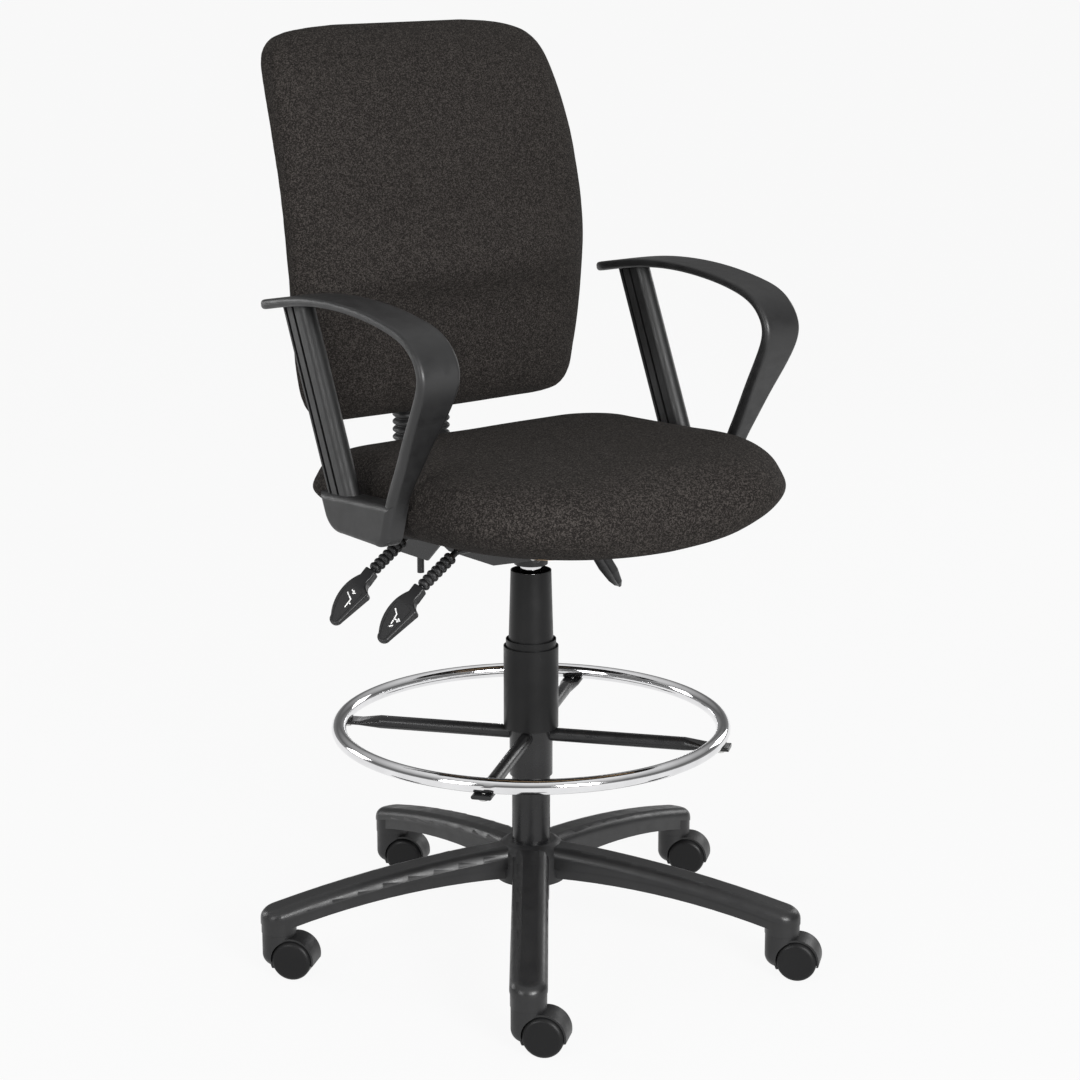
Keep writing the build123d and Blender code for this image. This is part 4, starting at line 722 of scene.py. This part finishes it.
def ribbed_rig():
    """Rubber sleeve between two points: round-cornered outline, full ribs, deep grooves."""
    rig = Rig("ribbed_sleeve", SLEEVE_INPUTS)
    given = rig.given
    line = rig.add("GeometryNodeCurvePrimitiveLine", Start=given["Start"], End=given["End"])[0]
    line = rig.add("GeometryNodeResampleCurve", Curve=line, Count=given["Points"])[0]
    along = rig.add("GeometryNodeSplineParameter")["Length"]
    past = rig.math("DIVIDE", rig.math("SUBTRACT", along, given["Plain"]), given["Pitch"])
    past = rig.math("MINIMUM", rig.math("MAXIMUM", past, 0.0), given["Ribs"])
    wave = rig.math("ABSOLUTE", rig.math("SINE", rig.math("MULTIPLY", past, math.pi)))
    crown = rig.math("POWER", wave, RIB_ROUND)
    room = rig.math("SUBTRACT", 1.0, given["Root Share"])
    share = rig.math("ADD", given["Root Share"], rig.math("MULTIPLY", crown, room))
    plate = rig.add("GeometryNodeCurvePrimitiveQuadrilateral",
                    Width=given["Width"], Height=given["Depth"])[0]
    plate = rig.add("GeometryNodeFilletCurve", Curve=plate, Radius=given["Corner"],
                    Limit_Radius=True, Count=CORNER_STEPS, settings={"mode": "POLY"})[0]
    tube = rig.add("GeometryNodeCurveToMesh", Curve=line, Profile_Curve=plate, Scale=share,
                   Fill_Caps=True)[0]
    rig.close(tube, RUBBER)
    return rig


LEVER_BEND = (-143.0, 545.0)
SLEEVE_END = (-196.0, 509.0)
SLEEVE_R = 8.0
SLEEVE_ROOT_R = 5.6
SLEEVE_RIBS = 7
SLEEVE_PITCH = 7.6
SLEEVE_GAP = 2.2          # from the last rib to the paddle
SLEEVE_RIB_POINTS = 12
LEVER_Y = {"recline_lever": 60.0, "tilt_lever": -40.0}
UPRIGHT_Y = 229.0
BOOT_WIDTH = 79.0
BOOT_DEPTH = 34.0
BOOT_CORNER = 13.0
BOOT_LOW = 572.0
BOOT_HIGH = 752.0
BOOT_RIB_LOW = 600.0
BOOT_RIBS = 9
BOOT_PITCH = 10.0
BOOT_ROOT_SHARE = 0.84
BOOT_POINTS = 217


def rubber_sleeves():
    rig = ribbed_rig()
    bend, end = np.array(LEVER_BEND), np.array(SLEEVE_END)
    slope = (end - bend) / np.linalg.norm(end - bend)
    last = end - slope * SLEEVE_GAP
    first = last - slope * SLEEVE_RIBS * SLEEVE_PITCH
    for lever, y in LEVER_Y.items():
        piece = rig.make(
            f"{lever}_bellows",
            Start=(first[0] * MM, y * MM, first[1] * MM),
            End=(last[0] * MM, y * MM, last[1] * MM),
            Width=2 * SLEEVE_R * MM,
            Depth=2 * SLEEVE_R * MM,
            Corner=SLEEVE_R * MM,
            Plain=0.0,
            Pitch=SLEEVE_PITCH * MM,
            Ribs=float(SLEEVE_RIBS),
            Root_Share=SLEEVE_ROOT_R / SLEEVE_R,
            Points=SLEEVE_RIBS * SLEEVE_RIB_POINTS + 1,
        )
        dress_rubber(piece, f"{lever}_sleeve", lever)
    boot = rig.make(
        "upright_bellows",
        Start=(0.0, UPRIGHT_Y * MM, BOOT_LOW * MM),
        End=(0.0, UPRIGHT_Y * MM, BOOT_HIGH * MM),
        Width=BOOT_WIDTH * MM,
        Depth=BOOT_DEPTH * MM,
        Corner=BOOT_CORNER * MM,
        Plain=(BOOT_RIB_LOW - BOOT_LOW) * MM,
        Pitch=BOOT_PITCH * MM,
        Ribs=float(BOOT_RIBS),
        Root_Share=BOOT_ROOT_SHARE,
        Points=BOOT_POINTS,
    )
    dress_rubber(boot, "upright_boot", "back")


def dress_rubber(piece, node, body):
    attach(piece, body)
    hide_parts(node)


# Symbols on the paddles

PADDLE_TIP = (-255.0, 453.0)
PADDLE_TURN = math.radians(30.0)
PADDLE_HOOK_U = 27.0
PADDLE_RISE = 8.0         # from the paddle's middle to its face at the hook
PADDLE_TIP_RISE = 3.5
PRINT_WIDTH = 1.5
PRINT_LIFT = 0.1          # ink over the face
INK_WEAR_SCALE = 420.0
# strokes of each symbol, along the paddle and across it: a seat and back in side view, and
# arrows for the move
SYMBOLS = {
    "recline_lever": (
        ((57.0, -2.0), (45.0, -2.5), (39.5, 6.5)),
        ((36.0, -1.5), (34.2, 3.5)),
        ((34.0, 0.5), (36.2, -2.6), (38.0, 0.2)),
        ((49.5, -2.5), (50.5, -6.0)),
    ),
    "tilt_lever": (
        ((57.0, 0.5), (44.0, 1.5), (38.5, 7.5)),
        ((50.0, 0.5), (49.5, -5.5)),
        ((47.2, -3.2), (49.4, -6.4), (52.0, -3.6)),
        ((57.5, -2.5), (61.0, 1.0)),
    ),
}


def print_ink():
    """Pale pad-printed ink, a little worn."""
    finish = Finish("print_ink", Specular_IOR_Level=0.3)
    wear = finish.noise(INK_WEAR_SCALE, 3.0)
    colour = finish.ramp(wear, (0.36, (0.34, 0.34, 0.34)), (0.5, (0.78, 0.78, 0.77)))
    return finish.dress(colour, finish.stretch(wear, 0.5, 0.7), wear, 0.2, 0.0001)


def paddle_face(y):
    """Gives the place of a point on a paddle's face from its runs along and across and its lift."""
    root = Vector((SLEEVE_END[0], y, SLEEVE_END[1]))
    along = Vector((PADDLE_TIP[0] - SLEEVE_END[0], 0, PADDLE_TIP[1] - SLEEVE_END[1]))
    run = along.length
    along.normalize()
    over = Vector((along.z, 0, -along.x))
    face = over * math.cos(PADDLE_TURN) + Vector((0, -1, 0)) * math.sin(PADDLE_TURN)
    across = Vector((0, 1, 0)) * math.cos(PADDLE_TURN) + over * math.sin(PADDLE_TURN)
    fall = (PADDLE_RISE - PADDLE_TIP_RISE) / (run - PADDLE_HOOK_U)

    def place(u, v, lift):
        rise = PADDLE_RISE - fall * (u - PADDLE_HOOK_U) + lift
        return (root + along * u + across * v + face * rise) * MM

    return place


def stroke(points):
    """Left and right edges of a line of even width with mitred corners and square ends."""
    spots = [Vector(point) for point in points]
    left, right = [], []
    for number, spot in enumerate(spots):
        before = (spot - spots[number - 1]).normalized() if number else None
        after = (spots[number + 1] - spot).normalized() if number < len(spots) - 1 else None
        before, after = before or after, after or before
        way = (before + after).normalized()
        side = Vector((-way.y, way.x))
        lean = side.dot(Vector((-before.y, before.x)))
        left.append(spot + side * PRINT_WIDTH / 2 / lean)
        right.append(spot - side * PRINT_WIDTH / 2 / lean)
    return left, right


def paddle_symbols():
    """Thin raised strokes on each paddle, every stroke a closed strip."""
    ink = print_ink()
    for lever, strokes in SYMBOLS.items():
        place = paddle_face(LEVER_Y[lever])
        points, faces = [], []
        for line in strokes:
            left, right = stroke(line)
            first = len(points)
            for one, other in zip(left, right):
                for lift in (-PRINT_LIFT, PRINT_LIFT):
                    points += [place(one.x, one.y, lift), place(other.x, other.y, lift)]
            for number in range(len(left) - 1):
                a = first + 4 * number
                b = a + 4
                faces += [(a, a + 1, b + 1, b), (a + 2, b + 2, b + 3, a + 3),
                          (a, b, b + 2, a + 2), (a + 1, a + 3, b + 3, b + 1)]
            last = first + 4 * (len(left) - 1)
            faces += [(first, first + 2, first + 3, first + 1),
                      (last, last + 1, last + 3, last + 2)]
        symbol = new_piece(f"{lever}_symbol", points, faces, ink, False)
        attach(symbol, lever)


# Studio

CAMERA_SPOT = (-2.0036, -2.5689, 1.3356)
CAMERA_HEADING = (0.6177, 0.7864)
CAMERA_DIP = math.radians(13.898)
CAMERA_LENS = 90.87
CAMERA_SENSOR = 36.0
# place, width, height and power of each softbox; all look at the chair's middle
LIT_SPOT = (0, 0, 0.7)
SOFTBOXES = {
    "key": ((-0.7, -3.35, 1.5), 1.3, 1.0, 152.0),
    "fill": ((-3.3, -0.6, 1.4), 1.0, 1.6, 42.0),
    "rear": ((-1.7, 3.2, 1.3), 1.2, 1.2, 34.0),
    "side": ((3.4, 0.7, 1.3), 1.2, 1.2, 17.0),
}
ROOM_TONES = ((0.0, 0.3), (0.3, 0.12), (1.0, 1.0))   # grey at each height, from the horizon up
FLOOR_TONE = (0.42, 0.42, 0.42, 1)
FLOOR_ROUGHNESS = 0.9
FLOOR_GLOW = 0.92         # share of plain white where the floor is seen directly
FLOOR_HALF = 60.0


def camera():
    view = bpy.data.cameras.new("photo_camera")
    view.lens = CAMERA_LENS
    view.sensor_width = CAMERA_SENSOR
    holder = bpy.data.objects.new("photo_camera", view)
    level = math.cos(CAMERA_DIP)
    ahead = Vector((CAMERA_HEADING[0] * level, CAMERA_HEADING[1] * level, -math.sin(CAMERA_DIP)))
    holder.location = CAMERA_SPOT
    holder.rotation_euler = ahead.to_track_quat("-Z", "Y").to_euler()
    scene.collection.objects.link(holder)
    scene.camera = holder


def softbox(name, spot, width, height, power):
    lamp = bpy.data.lights.new(name, "AREA")
    lamp.shape = "RECTANGLE"
    lamp.size = width
    lamp.size_y = height
    lamp.energy = power
    holder = bpy.data.objects.new(name, lamp)
    holder.location = spot
    holder.rotation_euler = (Vector(LIT_SPOT) - Vector(spot)).to_track_quat("-Z", "Y").to_euler()
    scene.collection.objects.link(holder)


def seen_directly(tree):
    """1 where the camera, a mirror or glass looks straight at it, 0 for light on the object."""
    rays = tree.nodes.new("ShaderNodeLightPath").outputs
    total = None
    for name in ("Is Camera Ray", "Is Glossy Ray", "Is Transmission Ray"):
        if total is None:
            total = rays[name]
            continue
        node = tree.nodes.new("ShaderNodeMath")
        node.operation = "MAXIMUM"
        tree.links.new(total, node.inputs[0])
        tree.links.new(rays[name], node.inputs[1])
        total = node.outputs[0]
    return total


def grey_room():
    """Grey walls, dim higher up, under a white ceiling, so bright metal has something to mirror."""
    world = bpy.data.worlds.new("grey_room")
    scene.world = world
    world.use_nodes = True
    tree = world.node_tree
    glow = tree.nodes["Background"]
    aim = tree.nodes.new("ShaderNodeTexCoord").outputs["Generated"]
    split = tree.nodes.new("ShaderNodeSeparateXYZ")
    fade = tree.nodes.new("ShaderNodeValToRGB")
    tree.links.new(aim, split.inputs["Vector"])
    tree.links.new(split.outputs["Z"], fade.inputs["Fac"])
    marks = fade.color_ramp.elements
    marks.new(0.5)
    for mark, (spot, grey) in zip(marks, ROOM_TONES):
        mark.position = spot
        mark.color = (grey, grey, grey, 1)
    tree.links.new(fade.outputs["Color"], glow.inputs["Color"])


def pale_floor():
    """Grey to the light, so it keeps the chair's shadow, and nearly white where it is looked at."""
    material = bpy.data.materials.new("pale_floor")
    material.use_nodes = True
    tree = material.node_tree
    paint = tree.nodes["Principled BSDF"]
    paint.inputs["Base Color"].default_value = FLOOR_TONE
    paint.inputs["Roughness"].default_value = FLOOR_ROUGHNESS
    paint.inputs["Specular IOR Level"].default_value = 0.0
    glow = tree.nodes.new("ShaderNodeEmission")
    mix = tree.nodes.new("ShaderNodeMixShader")
    share = tree.nodes.new("ShaderNodeMapRange")
    share.inputs["To Max"].default_value = FLOOR_GLOW
    tree.links.new(seen_directly(tree), share.inputs["Value"])
    tree.links.new(share.outputs["Result"], mix.inputs[0])
    tree.links.new(paint.outputs[0], mix.inputs[1])
    tree.links.new(glow.outputs[0], mix.inputs[2])
    tree.links.new(mix.outputs[0], tree.nodes["Material Output"].inputs["Surface"])
    half = FLOOR_HALF
    spots = [(-half, -half, 0), (half, -half, 0), (half, half, 0), (-half, half, 0)]
    floor = new_piece("floor", spots, [(0, 1, 2, 3)], material, False)


def studio():
    scene.view_settings.view_transform = "Standard"
    grey_room()
    pale_floor()
    for name, box in SOFTBOXES.items():
        softbox(name, *box)
    camera()


finish_solids()
upholster("seat_upholstery", seat_rings(), SEAT_CLOTH, held_seat, SEAT_SWELL,
          "seat_cushion", "seat")
upholster("back_upholstery", back_rings(), CLOTH, held_back, BACK_SWELL,
          "back_cushion", "back_pad", shape_lumbar)
rubber_sleeves()
paddle_symbols()
studio()
